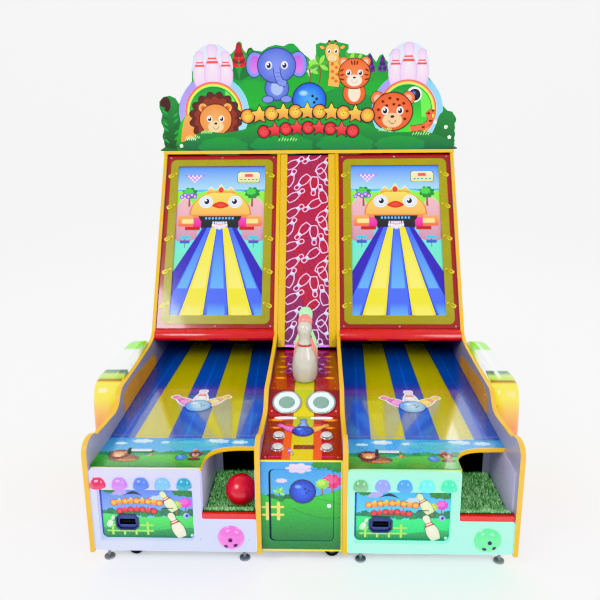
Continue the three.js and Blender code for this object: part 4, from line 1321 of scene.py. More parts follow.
def speakers():
    """A trim ring, a lit ring inside it and a perforated centre."""
    for word, _ in SIDES:
        low, high = span(f"speaker_{word}")
        place = on_console((low.x + high.x) / 2, (low.y + high.y) / 2 + 1.5)
        build = Build(place)
        build.lathe([(46, -36), (46, 0.8), (70, 0.8), (70, 4), (68, 8), (66, 9), (62, 9), (59, 8),
                     (57.5, 5), (57.5, 1.5)], 64, 0)
        build.lathe([(57.5, 4.5), (55, 6.3), (50, 7), (43, 6.3), (40, 4.5), (40, 2)], 64, 1)
        # The well's floor behind the grille is dark: painted shade.
        build.lathe([(0, -34), (44, -34), (44, -36), (0, -36)], 32, 3)
        # The grille's look glows: painted light from the ring beside it.
        build.lathe([(40, 3.2), (30, 2.6), (0, 2.2)], 48, 2)
        for ring in range(1, 7):
            for k in range(ring * 6):
                turn = 2 * math.pi * k / (ring * 6)
                spot = moved(6.1 * ring * math.cos(turn), 6.1 * ring * math.sin(turn), 2.3 + ring * 0.12)
                # The perforations are dark discs: painted shade for the holes.
                build.lathe([(1.9, 0), (1.9, 0.35), (0, 0.35)], 8, 3, spot, False)
        trim = build.finish(f"speaker_trim_{word}", ["zinc", "ring_light", "grille", "painted_hole_shade"],
                            slot="chrome_trim")
        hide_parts(f"speaker_{word}")


def buttons():
    """Four domed push buttons, each in a collar that stays on the console."""
    for row in ("front", "back"):
        for word, _ in SIDES:
            name = f"button_{row}_{word}"
            low, high = span(name)
            place = on_console((low.x + high.x) / 2, (low.y + high.y) / 2)
            build = Build(place)
            dome = [(23.6 * math.cos(a * math.pi / 24), 7.4 + 7.5 * math.sin(a * math.pi / 24))
                    for a in range(12)]
            build.lathe([(0, -33.6), (11.6, -33.6), (11.6, 5.2), (23.6, 5.2)] + dome + [(0, 14.9)], 48, 0)
            button = build.finish(f"button_cap_{row}_{word}", "button", body=name, slot="button_cap")
            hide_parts(name)
            collar = Build(place).lathe([(13.5, -1), (13.5, 0.6), (27.5, 0.6), (27.5, -1)], 40, 0)
            collar.finish(f"button_collar_{row}_{word}", "chrome", slot="chrome_trim")


def pins():
    """Three turned bowling pins in a row, each with a red band."""
    looks = {"front": "pin_front", "middle": "pin_middle", "rear": "pin_rear"}
    shape = [(0.0, 0.004), (0.16, 0.004), (0.176, 0.02), (0.196, 0.09), (0.207, 0.19), (0.205, 0.29),
             (0.186, 0.4), (0.148, 0.5), (0.112, 0.6), (0.097, 0.69), (0.101, 0.76), (0.116, 0.84),
             (0.113, 0.91), (0.08, 0.97), (0.045, 0.994), (0, 1.0)]
    for row, look in looks.items():
        low, high = span(f"pin_{row}")
        middle = (low + high) / 2
        height = high.z - low.z
        build = Build(moved(middle.x, middle.y, low.z))
        curve = [(max(0, r) * height, z * height) for r, z in open_curve(shape[1:], 6)]
        curve[-1] = (0, height)
        build.lathe([(0, 0.004 * height)] + curve, 64, 0)
        band = [(r + 0.6, z) for r, z in curve if 0.59 * height < z < 0.64 * height]
        build.lathe([(band[0][0] - 2, band[0][1])] + band + [(band[-1][0] - 2, band[-1][1])], 64, 1)
        pin = build.finish(f"bowling_pin_{row}", [look, "pin_band"], slot="pin_white")
        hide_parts(f"pin_{row}")


def open_curve(points, steps):
    """A smooth curve through the points, kept to its ends."""
    joined = [points[0]] + list(points) + [points[-1]]
    curve = []
    for p0, p1, p2, p3 in zip(joined, joined[1:], joined[2:], joined[3:]):
        a, b, c, d = (Vector(p) for p in (p0, p1, p2, p3))
        for j in range(steps):
            t = j / steps
            curve.append(tuple(0.5 * (2 * b + (c - a) * t + (2 * a - 5 * b + 4 * c - d) * t * t
                                      + (3 * b - a - 3 * c + d) * t ** 3)))
    return curve + [tuple(points[-1])]


def neon_panel():
    """The picture between the screens: lit pin outlines on crimson, with a gold post on each side."""
    place = screen_place(0)
    low, high, post = -86, SCREEN_LENGTH - 5, CENTRE_HALF - 42
    build = Build(place).block(-CENTRE_HALF + 0.3, CENTRE_HALF - 0.3, low, high, -30, -14.2, 0)
    for side in (-1, 1):
        u0, u1 = sorted((side * (CENTRE_HALF - 0.4), side * post))
        section = [(u0, -15), (u0, -3), (u0 + 3, -0.4), (u1 - 3, -0.4), (u1, -3), (u1, -15)]
        build.prism(section, -high, -low, 1, turned("X", 90))
    board = build.finish("neon_board", ["black", "gold"], slot="neon_print", bevel=0.6)
    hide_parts("neon_panel")
    art = Print(place @ moved(0, 0, -14.2), box(-post, low, post, high), lift=0.2, depth=1.0)
    art.rect(-post, low, post, 420, "#64205C", fade="#8C1840")
    art.rect(-post, 420, post, high, "#8C1840", fade="#8C1C40")
    art.disc(20, 560, (92, 430), 32, "#8C1840", rim="#9C1430")
    rng = random.Random(7)
    pattern = ((-75, 40, -52), (20, 74, 128), (95, 20, -35), (-98, -62, -25), (-30, -95, 138),
               (42, -120, 180), (96, -58, 205), (90, -170, 18), (-72, -180, -60))
    for group in range(4):
        for u, v, turn in pattern:
            middle = high - 90 - group * 318 + v * 0.98
            if middle > low - 30:
                draw_pin_line(art, u + rng.uniform(-5, 5), middle, 126, turn + rng.uniform(-6, 6))
    art.finish("neon_picture", "neon_ink", slot="neon_print")
    screws = Build(place)
    for side in (-1, 1):
        for v in (low + 30, 250, 540, 830, high - 22):
            add_screw(screws, moved(side * (CENTRE_HALF - 21), v, -0.5), 4)
    screws.finish("neon_screws", ["zinc", "hole"], slot="chrome_trim")
    foot = Build(place).block(-post, post, low + 2, low + 14, -14, -9, 0)
    foot.finish("neon_light_bar", "light_bar", slot="lamp_lens", bevel=1.2)


console_print()
speakers()
buttons()
pins()
neon_panel()


# ---- Service panel -------------------------------------------------------------------------------
SERVICE = {"half": 130, "bottom": 122, "top": 446, "corner": 18}


def draw_service_picture(art):
    """Sky, trees, hills, a fence and a plain ball."""
    half, low, high = CENTRE_HALF, 70, 490
    art.rect(-half, low, half, high, "#7CC8E8", fade="#4CA8DC")
    draw_cloud(art, -11, 452, 48, "#D8CCE8", fade="#F0E4F4")
    draw_cloud(art, -82, 396, 22, "#E8D8F0")
    for u, v, size in ((75, 470, 34), (118, 474, 44), (150, 452, 30)):
        art.lay(puff(u, v, size, size * 0.55, 9), "#1C8A3C", fade="#2C9C44")
    draw_tree(art, 124, 318, 110, "#D8408C", "#F06CA8", "#B07A3C")
    draw_tree(art, 84, 330, 76, "#90C850", "#C0E070", "#9A7A3C")
    draw_palm(art, -92, 300, 62, "#7CC060", "#A8DC7C")
    for k in range(10):
        art.lay(puff(-160 + 36 * k, 312 + 8 * (k % 2), 24, 16, 7), "#147A4C" if k % 2 else "#1C8C54")
    art.blob([(-190, 60), (-180, 318), (-120, 316), (-60, 290), (-10, 282), (40, 255), (60, 60)], "#1E9A44",
             fade="#44C048")
    art.blob([(-70, 60), (-80, 296), (-10, 306), (60, 326), (120, 342), (190, 344), (190, 60)], "#18883C",
             fade="#48C04C")
    art.blob([(-190, 50), (-190, 240), (-60, 262), (40, 244), (90, 224), (150, 228), (200, 240), (200, 50)],
             "#0F8048", fade="#30B04C")
    art.line([(-40, 270), (10, 248), (60, 232), (110, 226), (166, 232)], 2.2, "#147038")
    art.line([(60, 318), (110, 306), (166, 292)], 1.8, "#1C8038")
    draw_fence(art, -165, 216, 92, 84, "#E8D880", "#8A9A3C")
    draw_ball(art, 4, 348, 52)


def service_panel():
    """One picture over the console's front and its door, and the door's lock."""
    half = CENTRE_HALF - 0.5
    window = rounded(4 - SERVICE["half"], SERVICE["bottom"], SERVICE["half"], SERVICE["top"],
                     SERVICE["corner"], 4)
    hole = rounded(-SERVICE["half"] - 5, SERVICE["bottom"] - 2, SERVICE["half"] + 2, SERVICE["top"] + 2,
                   SERVICE["corner"] + 2, 4)
    art = Print(outward(0, FACE_Y, 0), box(-half, 73, half, 489.6), hole, step=0.06)
    draw_service_picture(art)
    for u0, v0, u1, v1 in ((-half, 73, half, 80), (half - 6, 73, half, 489), (-half, 482, half, 489.6)):
        art.rect(u0, v0, u1, v1, "#E4DC3C")
    art.finish("service_surround_print")
    door = Print(outward(0, FACE_Y + 1, 0), window, step=0.06)
    draw_service_picture(door)
    door.finish("service_door_print", body="service_door")
    key_lock("service_lock", outward(112, FACE_Y + 1, 284), "service_door",
             [(9, 0), (9, 2.6), (7.6, 3.4), (0, 3.4)], (1, 4.5, 0.4), 28)


service_panel()


# ---- Counters ------------------------------------------------------------------------------------
def box_cut(word, side):
    """The corner that is cut out of a counter over its ball box, as a convex outline."""
    loop = [(corner[0] - side * UNIT_X, corner[1]) for corner in face_loop(f"counter_{word}", 2)]
    curve = [p for p in loop if p[0] > 115.5 and p[1] < -761.5]
    curve.sort(key=lambda p: p[0] * 2 + p[1])
    return curve


def draw_counter(art):
    half, front, back = UNIT_HALF, FACE_Y, COUNTER_BACK
    art.rect(-half, front, half, back, "#78C8E4", fade="#50AEE0")
    for u, v, size in ((-180, -718, 42), (-70, -730, 26), (150, -716, 48), (250, -724, 34), (-270, -740, 26)):
        draw_cloud(art, u, v, size, "#C8E8F8", fade="#E8F6FF")
    art.lay(puff(40, -745, 120, 34, 9), "#60BCC8", fade="#70C8DC")
    for k in range(17):
        art.lay(puff(-320 + 40 * k, -838 + 7 * (k % 3), 28, 20, 7), "#2C9A68" if k % 2 else "#3CA874")
    art.lay(wavy(-half, half, -850, 8, 3, front), "#3CA83C", fade="#64C84C")
    art.lay(wavy(-half, half, -905, 6, 4, front), "#309C38", fade="#4CB440")
    for u, v in ((-195, -820), (-120, -862), (60, -815)):
        art.lay(leaf(u, v, 30, 12, 70), "#E8A83C")
        art.lay(leaf(u + 6, v, 26, 10, 40), "#C87C2C")
    art.lay(moved_shape(arc(0, 0, 66, 30), -218, -880), "#B8804C", rim="#8C5430")
    draw_lion(art, -248, -846, 27)
    for du in (-24, -4, 16, 30):
        art.disc(-205 + du, -900 + abs(du) * 0.2, (12, 7), 12, "#D89C64")
    draw_ball(art, 20, -868, 24, "#6CB8F0", "#3C7CC8", "#D0ECFF")
    draw_head(art, 76, -842, 26, "#9C3C20", "#7A2A16", (0.85, 0.6, 0.3), "#D88C5C", "#E8B088")
    art.lay(moved_shape(arc(0, 0, 30, 13), 76, -884), "#8C3018", rim="#6A2010")
    art.line([(-30, -716), (20, -702), (66, -706), (92, -722), (70, -745), (20, -752), (-26, -738),
              (-30, -716)], 2.4, "#3C8CB0")


def counter(word, side):
    """The counter's picture, its lime front edge and the yellow rim round the ball box's corner."""
    x, half = side * UNIT_X, UNIT_HALF - 0.5
    curve = box_cut(word, side)
    hole = curve + [(400, curve[-1][1]), (400, -1000), (curve[0][0], -1000)]
    hole = anticlockwise(hole)
    art = Print(panel((x, 0, COUNTER_TOP), (1, 0, 0), (0, 0, 1)),
                box(-half, FACE_Y + 1, half, COUNTER_BACK), hole)
    draw_counter(art)
    art.finish(f"counter_print_{word}")
    low = span(f"counter_{word}")[0].z
    middle, width = (low + COUNTER_TOP) / 2, COUNTER_TOP - low
    front = [(x - half, FACE_Y, middle), (x + curve[0][0] - 2, FACE_Y, middle)]
    Build().sweep(front, moulding_section(width), (0, 0, 1)).finish(f"counter_edge_{word}", "lime", bevel=0.4)
    rim = [(x + curve[0][0], FACE_Y + 2, middle)] + [(x + u, v, middle) for u, v in curve[1:]]
    edge = Build().sweep(rim, moulding_section(width + 2), (0, 0, 1))
    edge.finish(f"counter_rim_{word}", "moulding", bevel=0.4)


def card_slot(word, side):
    """A steel card reader on the counter: a plate, a pale body and a slit painted dark as shade."""
    slot = Build(panel((side * UNIT_X - 165, -812, COUNTER_TOP + 1.2), (1, 0, 0), (0, 0, 1)))
    slot.prism(rounded(-52, -12, 52, 12, 5), 0, 4, 0)
    slot.prism(rounded(-40, -6, 46, 6, 3), 4, 5.4, 1)
    slot.block(-36, 42, -1.6, 1.6, 5.3, 5.7, 2)
    slot.prism(rounded(-52, -12, -40, 12, 3), 4, 9, 2)
    slot.finish(f"card_slot_{word}", ["zinc", "white", "painted_hole_shade"], slot="chrome_trim", bevel=0.5)


# ---- Ticket doors --------------------------------------------------------------------------------
MOUTH = {"x": -202, "z": 198, "half_wide": 43, "half_high": 31, "cut": 14}


def octagon(grow=0.0):
    wide, high, cut = MOUTH["half_wide"] + grow, MOUTH["half_high"] + grow, MOUTH["cut"] + grow * 0.5
    corners = [(wide, -high + cut), (wide, high - cut), (wide - cut, high), (-wide + cut, high),
               (-wide, high - cut), (-wide, -high + cut), (-wide + cut, -high), (wide - cut, -high)]
    return [(MOUTH["x"] + u, MOUTH["z"] + v) for u, v in corners]


def draw_garland(art, u, v, width, size, count, hues):
    """A row of balls and stars, in place of lettering."""
    for k in range(count):
        share = (k + 0.5) / count
        cu, cv = u + width * (share - 0.5), v + size * 0.35 * math.sin(math.pi * share)
        low, high = hues
        if k % 2:
            outer = [(cu + size * r * math.cos(math.radians(90 + 36 * i)),
                      cv + size * r * math.sin(math.radians(90 + 36 * i))) for i,
                     r in enumerate([0.62, 0.3] * 5)]
            art.lay([(cu + (a - cu) * 1.22, cv + (b - cv) * 1.22) for a, b in outer], INK)
            art.lay(outer, low, fade=high)
        else:
            art.disc(cu, cv, size * 0.54, 20, INK)
            art.disc(cu, cv, size * 0.45, 20, high, rim=low)
            for du, dv in ((-0.1, 0.12), (0.1, 0.14), (0.02, -0.04)):
                art.disc(cu + size * du, cv + size * dv, size * 0.055, 8, INK)


def draw_ticket_picture(art, tint):
    left, right, low, high = DOOR["left"], DOOR["right"], DOOR["bottom"], DOOR["top"]
    wide = right - left
    sky, zenith, hill, lit_hill, bush = tint
    art.rect(left, low, right, high, sky, fade=zenith)
    draw_cloud(art, left + wide * 0.2, high - 12, 34, "#C8B8F4")
    draw_cloud(art, left + wide * 0.62, high - 40, 30, "#D8E8FF")
    for u, v, size in ((left + 40, high - 4, 26), (right - 50, high - 10, 36), (right - 20, high - 20, 24)):
        art.lay(puff(u, v, size, size * 0.55, 9), "#147A3C", fade="#1E8C44")
    for k in range(14):
        art.lay(puff(left + 14 + 28 * k, low + 112 + 9 * (k % 2), 20, 18, 7), bush if k % 2 else "#1C8C5C")
    draw_tree(art, right - 34, low + 112, 76, "#C848B8", "#E070D0", "#8A6A4A")
    draw_tree(art, right - 72, low + 112, 62, "#9CB848", "#C0D060", "#8A7A3C")
    art.blob([(left - 30, low - 20), (left - 20, low + 104), (left + 120, low + 100),
              (left + 210, low + 84), (left + 250, low - 20)], hill, fade=lit_hill)
    art.blob([(left + 90, low - 20), (left + 150, low + 78), (left + 260, low + 100),
              (right + 20, low + 92), (right + 30, low - 20)], hill, fade=lit_hill)
    art.lay(wavy(left, right, low + 40, 9, 2, low), "#0C7C50", fade=hill)
    draw_fence(art, left + 20, low + 14, 196, 62, "#A8D070", "#4A8A4A")
    # Painted shadow: a dark blue strip down the picture's left edge stands for the shade of the recess wall.
    art.lay([(left, low), (left + 6, low), (left + 8, high), (left, high)], "#3C3CA8", fade="#4848A0")
    draw_pin(art, left + 26, low + 52, 58, -28, "#EEF8E4", "#B4D8C0", "#2C6A5C", "#3C9C7C")
    draw_garland(art, left + 152, low + 162, 214, 30, 9, ("#F07C1C", "#FFF03C"))
    draw_garland(art, left + 150, low + 124, 168, 27, 7, ("#B8101C", "#FF5C6C"))
    art.blob([(left + 96, low + 196), (left + 140, low + 218), (left + 178, low + 196),
              (left + 150, low + 202), (left + 120, low + 202)], "#20283C", steps=5)
    draw_pin(art, right - 78, low + 128, 104, 32, "#F0F0D0", "#C4CCA8", "#3A2A30", "#A8442C")
    draw_pin(art, right - 52, low + 6, 122, 24, "#F4F0E0", "#C8CCB8", "#3A2A30", "#A83C2C")
    art.line([(right - 130, low + 140), (right - 84, low + 140)], 5, "#1C2438")
    draw_ball(art, right - 32, low + 106, 13, "#E8F0FF", "#8CA0E0", "#FFFFFF")
    art.disc(right - 30, low + 106, (7, 8), 14, "#2C30A0")


TICKET_TINTS = {
    "left": ("#A8DCFF", "#6C9CF4", "#1E9C5C", "#5CCC6C", "#14785C"),
    "right": ("#7CECFC", "#38BCE8", "#0CA86C", "#2CD88C", "#087C64"),
}


def ticket_door(word, side):
    """The picture on the door, its recessed lip, and the black ticket mouth with its slot."""
    x, body = side * UNIT_X, f"ticket_door_{word}"
    face = span(body)[0].y
    outline = rounded(DOOR["left"] + 0.5, DOOR["bottom"] + 0.5, DOOR["right"] - 0.5, DOOR["top"] - 0.5, 22, 5)
    art = Print(outward(x, face, 0), outline, octagon(1), step=0.06)
    draw_ticket_picture(art, TICKET_TINTS[word])
    art.finish(f"ticket_door_print_{word}", "lit_print", body=body)
    bezel = Build(outward(x, face, 0))
    plate(bezel, octagon(7), [octagon(-1)], 0.2, 3.2, 0)
    plate(bezel, octagon(-1), [rounded(MOUTH["x"] - 33, MOUTH["z"] - 13, MOUTH["x"] + 33, MOUTH["z"] + 13,
                                       3)], -5, -3.5, 1)
    bezel.finish(f"ticket_bezel_{word}", ["navy", "navy_deep"], body=body, slot="dark_plastic", bevel=0.7)
    key_lock(f"ticket_lock_{word}", outward(x + DOOR["right"] - 12, face, DOOR["bottom"] + 14), body,
             [(6, 0.2), (6, 2.4), (5, 3), (0, 3)], (0.8, 3, 0.4), 24)


for word, side in SIDES:
    counter(word, side)
    card_slot(word, side)
    ticket_door(word, side)


# ---- Ball boxes and ball -------------------------------------------------------------------------
SILL_LOW, SILL_HIGH = 228.4, 254


def ball_sill(word, side):
    """The red sill on the ball box's front wall."""
    sill = Build(moved(side * UNIT_X, 0, 0))
    sill.block(115, UNIT_HALF - 0.8, SHELL_FRONT + 1, FACE_Y + 14, SILL_LOW, SILL_HIGH)
    sill.finish(f"ball_sill_{word}", "lip", slot="red_gloss", bevel=1.5, steps=3)


def grass(pile, area_of, count, base, heights, rng, low_spot=None):
    """Blades with a bent tip, planted at random over a rectangle."""
    u0, u1, v0, v1 = area_of
    for k in range(count):
        u, v = rng.uniform(u0, u1), rng.uniform(v0, v1)
        tall = rng.uniform(*heights)
        if low_spot and math.hypot(u - low_spot.x, v - low_spot.y) < 58:
            tall = rng.uniform(4.5, 7)
        turn, wide = rng.uniform(0, 6.283), rng.uniform(1.0, 1.9)
        lean = rng.uniform(1.5, 5.5) * tall / 8
        du, dv = math.cos(turn), math.sin(turn)
        middle = (u + du * lean * 0.35, v + dv * lean * 0.35, base + tall * 0.6)
        verts = [(u - dv * wide, v + du * wide, base - 0.4), (u + dv * wide, v - du * wide, base - 0.4),
                 (middle[0] + dv * wide * 0.8, middle[1] - du * wide * 0.8, middle[2]),
                 (middle[0] - dv * wide * 0.8, middle[1] + du * wide * 0.8, middle[2]),
                 (u + du * lean, v + dv * lean, base + tall * 0.98)]
        pile.add(verts, [(0, 1, 2, 3), (3, 2, 4)], 0 if k % 3 else 1)


def turf(word, side):
    """A turf mat on the ball box's floor and a strip on its front wall: woven backing, and the pile on it."""
    node_name = f"turf_mat_{word}"
    low, high = span(node_name)
    rng = random.Random(11 + side)
    share = 1
    ball_place = sum(span("bowling_ball"), Vector()) / 2 if side < 0 else None
    pieces = {
        "mat": (low.x + 0.5, high.x - 0.5, low.y + 0.5, high.y - 0.5, low.z + 0.1, 5200, (9, 17)),
        "strip": (low.x + 0.5, high.x - 0.5, SHELL_FRONT + 16, low.y - 1.5, SILL_HIGH + 0.3, 900, (5, 10)),
    }
    for part, (x0, x1, y0, y1, z, count, heights) in pieces.items():
        backing = Build().block(x0, x1, y0, y1, z, z + 2.1)
        under = backing.finish(f"turf_backing_{part}_{word}", "backing", slot="turf")
        pile = Build()
        grass(pile, (x0 + 5, x1 - 5, y0 + 4, y1 - 4), int(count * share), z + 2.1, heights, rng,
              ball_place if part == "mat" else None)
        # Both looks of the pile glow: painted light on the shaded floor of the box.
        blades = pile.finish(f"turf_pile_{part}_{word}", ["turf", "turf_blade_painted_light"], slot="turf")
        if part == "mat":
            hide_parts(node_name)
            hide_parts(node_name)


def ball():
    """The loose red ball, with three finger holes."""
    low, high = span("bowling_ball")
    centre, radius = (low + high) / 2, (high.x - low.x) / 2
    build = Build(moved(*centre))
    build.lathe([(0, -radius)] + [(radius * math.cos(a * math.pi / 48), radius * math.sin(a * math.pi / 48))
                                  for a in range(-23, 24)] + [(0, radius)], 72)
    for tilt, spin in ((18, 0), (18, 64), (30, 205)):
        hole = turned("X", -38) @ turned("Z", spin) @ turned("X", tilt) @ moved(0, 0, radius)
        # Each finger hole is a shallow dark disc: painted shade for its depth.
        build.lathe([(9, -0.9), (9, 0.35), (7.6, 0.5), (7.2, -0.2), (0, -0.25)], 24, 1, hole)
    whole = build.finish("ball_shell", ["ball", "ball_hole_shade"], body="bowling_ball", slot="ball_red")
    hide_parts("bowling_ball")


for word, side in SIDES:
    ball_sill(word, side)
    turf(word, side)
ball()


# ---- Topper --------------------------------------------------------------------------------------
TOPPER_EDGE = (
    (-868, 1669), (-874, 1720), (-894, 1756), (-884, 1800), (-900, 1846), (-890, 1888), (-905, 1926),
    (-903, 1964), (-878, 1990), (-838, 1998), (-802, 1982), (-782, 1950), (-764, 1990), (-735, 2036),
    (-698, 2078), (-696, 2150), (-682, 2222), (-640, 2266), (-600, 2284), (-566, 2289), (-530, 2284),
    (-494, 2264), (-470, 2224), (-452, 2236), (-430, 2258), (-421, 2292), (-405, 2302), (-389, 2292),
    (-383, 2258), (-366, 2236), (-350, 2262), (-334, 2268), (-320, 2250), (-272, 2244), (-235, 2268),
    (-190, 2280), (-140, 2272), (-112, 2286), (-82, 2286), (-54, 2260), (-30, 2230), (4, 2208),
    (28, 2180), (52, 2196), (50, 2240), (48, 2278), (76, 2290), (108, 2284), (130, 2300), (162, 2301),
    (190, 2290), (216, 2284), (244, 2278), (246, 2252), (226, 2228), (262, 2228), (322, 2226),
    (350, 2214), (372, 2230), (392, 2198), (408, 2178), (426, 2214), (448, 2222), (464, 2190),
    (488, 2168), (484, 2218), (504, 2246), (540, 2264), (592, 2289), (642, 2270), (690, 2248),
    (712, 2210), (718, 2156), (722, 2088), (760, 2044), (796, 1984), (813, 1926), (842, 1896),
    (872, 1890), (890, 1860), (886, 1828), (895, 1796), (885, 1758), (896, 1718), (886, 1684),
    (868, 1669))


def draw_medallion(art, u, v, flip):
    """A disc with rainbow rims, a green middle and three pins standing behind it."""
    art.disc(u, v, 213, 56, "#B8ECFF" if flip else "#C0F4FF", fade="#9CE0FF")
    start = 85 if flip else 95
    art.lay(arc(u, v, 213, 213, start, start + 105, 20) + [(u, v)], "#C4B8F8", fade="#B8A8F4")
    art.disc(u, 2160, (122, 128), 36, "#FBF6FF", rim="#E8ECFC")
    for du, low, tall in ((-76, 2050, 196), (80, 2050, 196), (0, 2046, 236)):
        draw_pin(art, u + du, low, tall, 0, "#FFF4FA", "#E4CCE8", "#B8A8C8", "#F05424", 0.014)
    for radius, hue in ((176, "#F04848"), (171, "#FF9838"), (164, "#F8EC58"), (155, "#98E870"),
                        (149, "#1E7A34")):
        art.disc(u, v, radius, 52, hue)
    art.disc(u, v, 145, 52, "#58D048", fade="#18964C")
    art.lay([(u + 90, v - 40)] + arc(u, v, 143, 143, -16, 60, 12), "#7CE05C")


def draw_tufts(art, u, v, width, count, colour, tall=26):
    for k in range(count):
        turn = 60 + 60 * ((k * 7) % count) / count
        art.lay(leaf(u + width * (k / count - 0.5), v, tall * (0.8 + 0.4 * ((k * 5) % 3) / 2), tall * 0.22,
                     turn), colour)


def draw_torch(art, u, v, height, hue, dark, leaves="#107C3C"):
    for side in (-1, 1):
        for turn, share in ((62, 0.62), (40, 0.46)):
            art.lay(leaf(u, v, height * share, height * 0.16, 90 + side * (90 - turn)), leaves)
    for row in range(5):
        for side in (-1, 1):
            art.lay(leaf(u, v + height * (0.34 + 0.085 * row), height * (0.25 - 0.025 * row), height * 0.13,
                         90 + side * (58 - 6 * row)), dark if row % 2 else hue)
    art.disc(u, v + height * 0.8, (height * 0.085, height * 0.17), 20, hue, rim=dark)


def draw_topper(art):
    art.lay(list(TOPPER_EDGE), "#0E8A48", fade="#1EA04C")
    art.lay([(-40, 2180), (60, 2190), (60, 2020), (-60, 2020)], "#B8C8BC", fade="#D8E4D8")
    for u, v, size in ((250, 2120, 110), (420, 2040, 90), (-80, 2060, 110), (-330, 2000, 110),
                       (100, 2080, 90)):
        art.lay(puff(u, v, size, size * 0.75, 11, 0.06), "#2CAC3C", fade="#22A044")
    for u, v, tall in ((10, 2040, 150), (70, 2060, 150), (250, 2090, 135), (300, 2110, 112)):
        draw_palm(art, u, v, tall, "#5CA848", "#98CC60")
    draw_torch(art, -410, 2080, 222, "#C81C3C", "#8C1430")
    art.disc(-340, 2236, (22, 30), 16, "#3C9C3C", rim="#1C6C2C")
    draw_torch(art, 372, 2060, 166, "#7A2C9C", "#4C1C74", "#2C9C3C")
    draw_torch(art, 446, 2070, 146, "#7A2C9C", "#4C1C74", "#2C9C3C")
    draw_medallion(art, -570, 1898, False)
    draw_medallion(art, 600, 1900, True)
    art.disc(640, 1990, 44, 28, "#FFFFFF")
    art.disc(642, 1988, 36, 26, "#14144C", rim="#060620")
    art.disc(634, 1996, 16, 16, "#8C9CF8", rim="#28308C")
    draw_elephant(art, -185, 2162, 112)
    draw_giraffe(art, 148, 2228, 64)
    draw_tiger(art, 280, 2112, 92)
    for side, hue in ((-1, "#0E7A38"), (1, "#0C6E38")):
        bush = [(side * u, v) for u, v in ((905, 1669), (880, 1700), (896, 1756), (882, 1800), (898, 1846),
                                           (860, 1890), (800, 1880), (770, 1800), (740, 1740), (690, 1669))]
        art.blob(bush, hue, steps=5, fade="#148C44")
    stem = [(-884, 1700), (-868, 1800), (-856, 1900), (-866, 1976), (-826, 1990), (-790, 1950),
            (-784, 1880), (-790, 1780), (-790, 1690)]
    art.blob(stem, "#0A5C2C", steps=5, fade="#1E9448")
    art.blob([(-898, 1940), (-888, 1978), (-850, 1988), (-834, 1950), (-846, 1906), (-880, 1900),
              (-870, 1926)], "#4C0C14", steps=5, fade="#5C1018")
    for k in range(12):
        side = -1 if k % 2 else 1
        art.lay(leaf(-838 + 14 * side, 1700 + 17 * k, 44, 14, 90 - side * 52),
                "#2CA454" if k % 3 else "#0E7038")
    art.blob([(-800, 1669), (-790, 1800), (-740, 1880), (-690, 1800), (-640, 1700), (-640, 1669)],
             "#1C9428", fade="#48B82C")
    art.blob([(-770, 1700), (-755, 1850), (-700, 1890), (-640, 1800), (-640, 1720)], "#E8A040",
             fade="#F4BC5C")
    draw_lion(art, -562, 1862, 96)
    tail = [(622, 1790), (700, 1800), (742, 1836), (730, 1880), (756, 1896)]
    art.line(tail, 40, "#6A1C10")
    art.line(tail, 31, "#EC7C38")
    for u, v in tail[1:]:
        art.lay(puff(u, v, 11, 7, 5), "#7A1C10")
    draw_leopard(art, 512, 1892, 118)
    art.blob([(-700, 1669), (-690, 1760), (-610, 1784), (-500, 1776), (-380, 1800), (-200, 1860), (0, 1880),
              (220, 1860), (360, 1820), (470, 1778), (600, 1772), (740, 1770), (800, 1669)], "#0A6E50",
             fade="#28A83C")
    for u, v, wide, high in ((-520, 1690, 150, 60), (-160, 1700, 190, 60), (230, 1700, 170, 64),
                             (560, 1700, 150, 50)):
        art.lay(puff(u, v, wide, high, 9, 0.05), "#0C8458", fade="#1C9C44")
    for u, v, wide in ((-706, 1740, 90), (-620, 1770, 70), (-120, 1722, 120), (470, 1776, 80),
                       (690, 1752, 110)):
        draw_tufts(art, u, v, wide, 7, "#B4E49C")
    draw_tufts(art, -716, 1730, 80, 6, "#F0FFF0", 20)
    draw_ball(art, 10, 1962, 98, "#48B8F4", "#1C68C8", "#D8F4FF")
    draw_garland(art, -2, 1868, 800, 84, 11, ("#F09818", "#FFF23C"))
    draw_garland(art, 2, 1776, 610, 76, 9, ("#C01038", "#FF5C58"))
    for u, v in ((770, 1830), (836, 1800), (860, 1740), (-780, 1700)):
        draw_flower(art, u, v, 11, "#E8F8E8", "#FFFFFF")


def topper():
    """The clear board with its brackets, and the picture on its front."""
    low, high = span("topper_board")
    board = Build(panel((0, high.y, 0), (1, 0, 0), (0, -1, 0)))
    board.prism(list(TOPPER_EDGE)[:-1], 0, high.y - low.y, 0)
    for x in (-700, -250, 250, 700):
        board.block(x - 20, x + 20, low.z + 0.4, low.z + 70, -2.5, -0.2, 1)
        board.block(x - 20, x + 20, low.z + 0.4, low.z + 3, -34, -2.5, 1)
        for v in (22, 52):
            add_screw(board, moved(x, low.z + v, -2.5) @ turned("Y", 180), 4, 1)
    whole = board.finish("topper_shape", ["acrylic_edge", "zinc", "hole"], slot="topper_acrylic")
    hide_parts("topper_board")
    art = Print(outward(0, low.y, 0), lift=0.2, step=0.1)
    draw_topper(art)
    art.finish("topper_print", "topper_ink", slot="topper_acrylic")


topper()


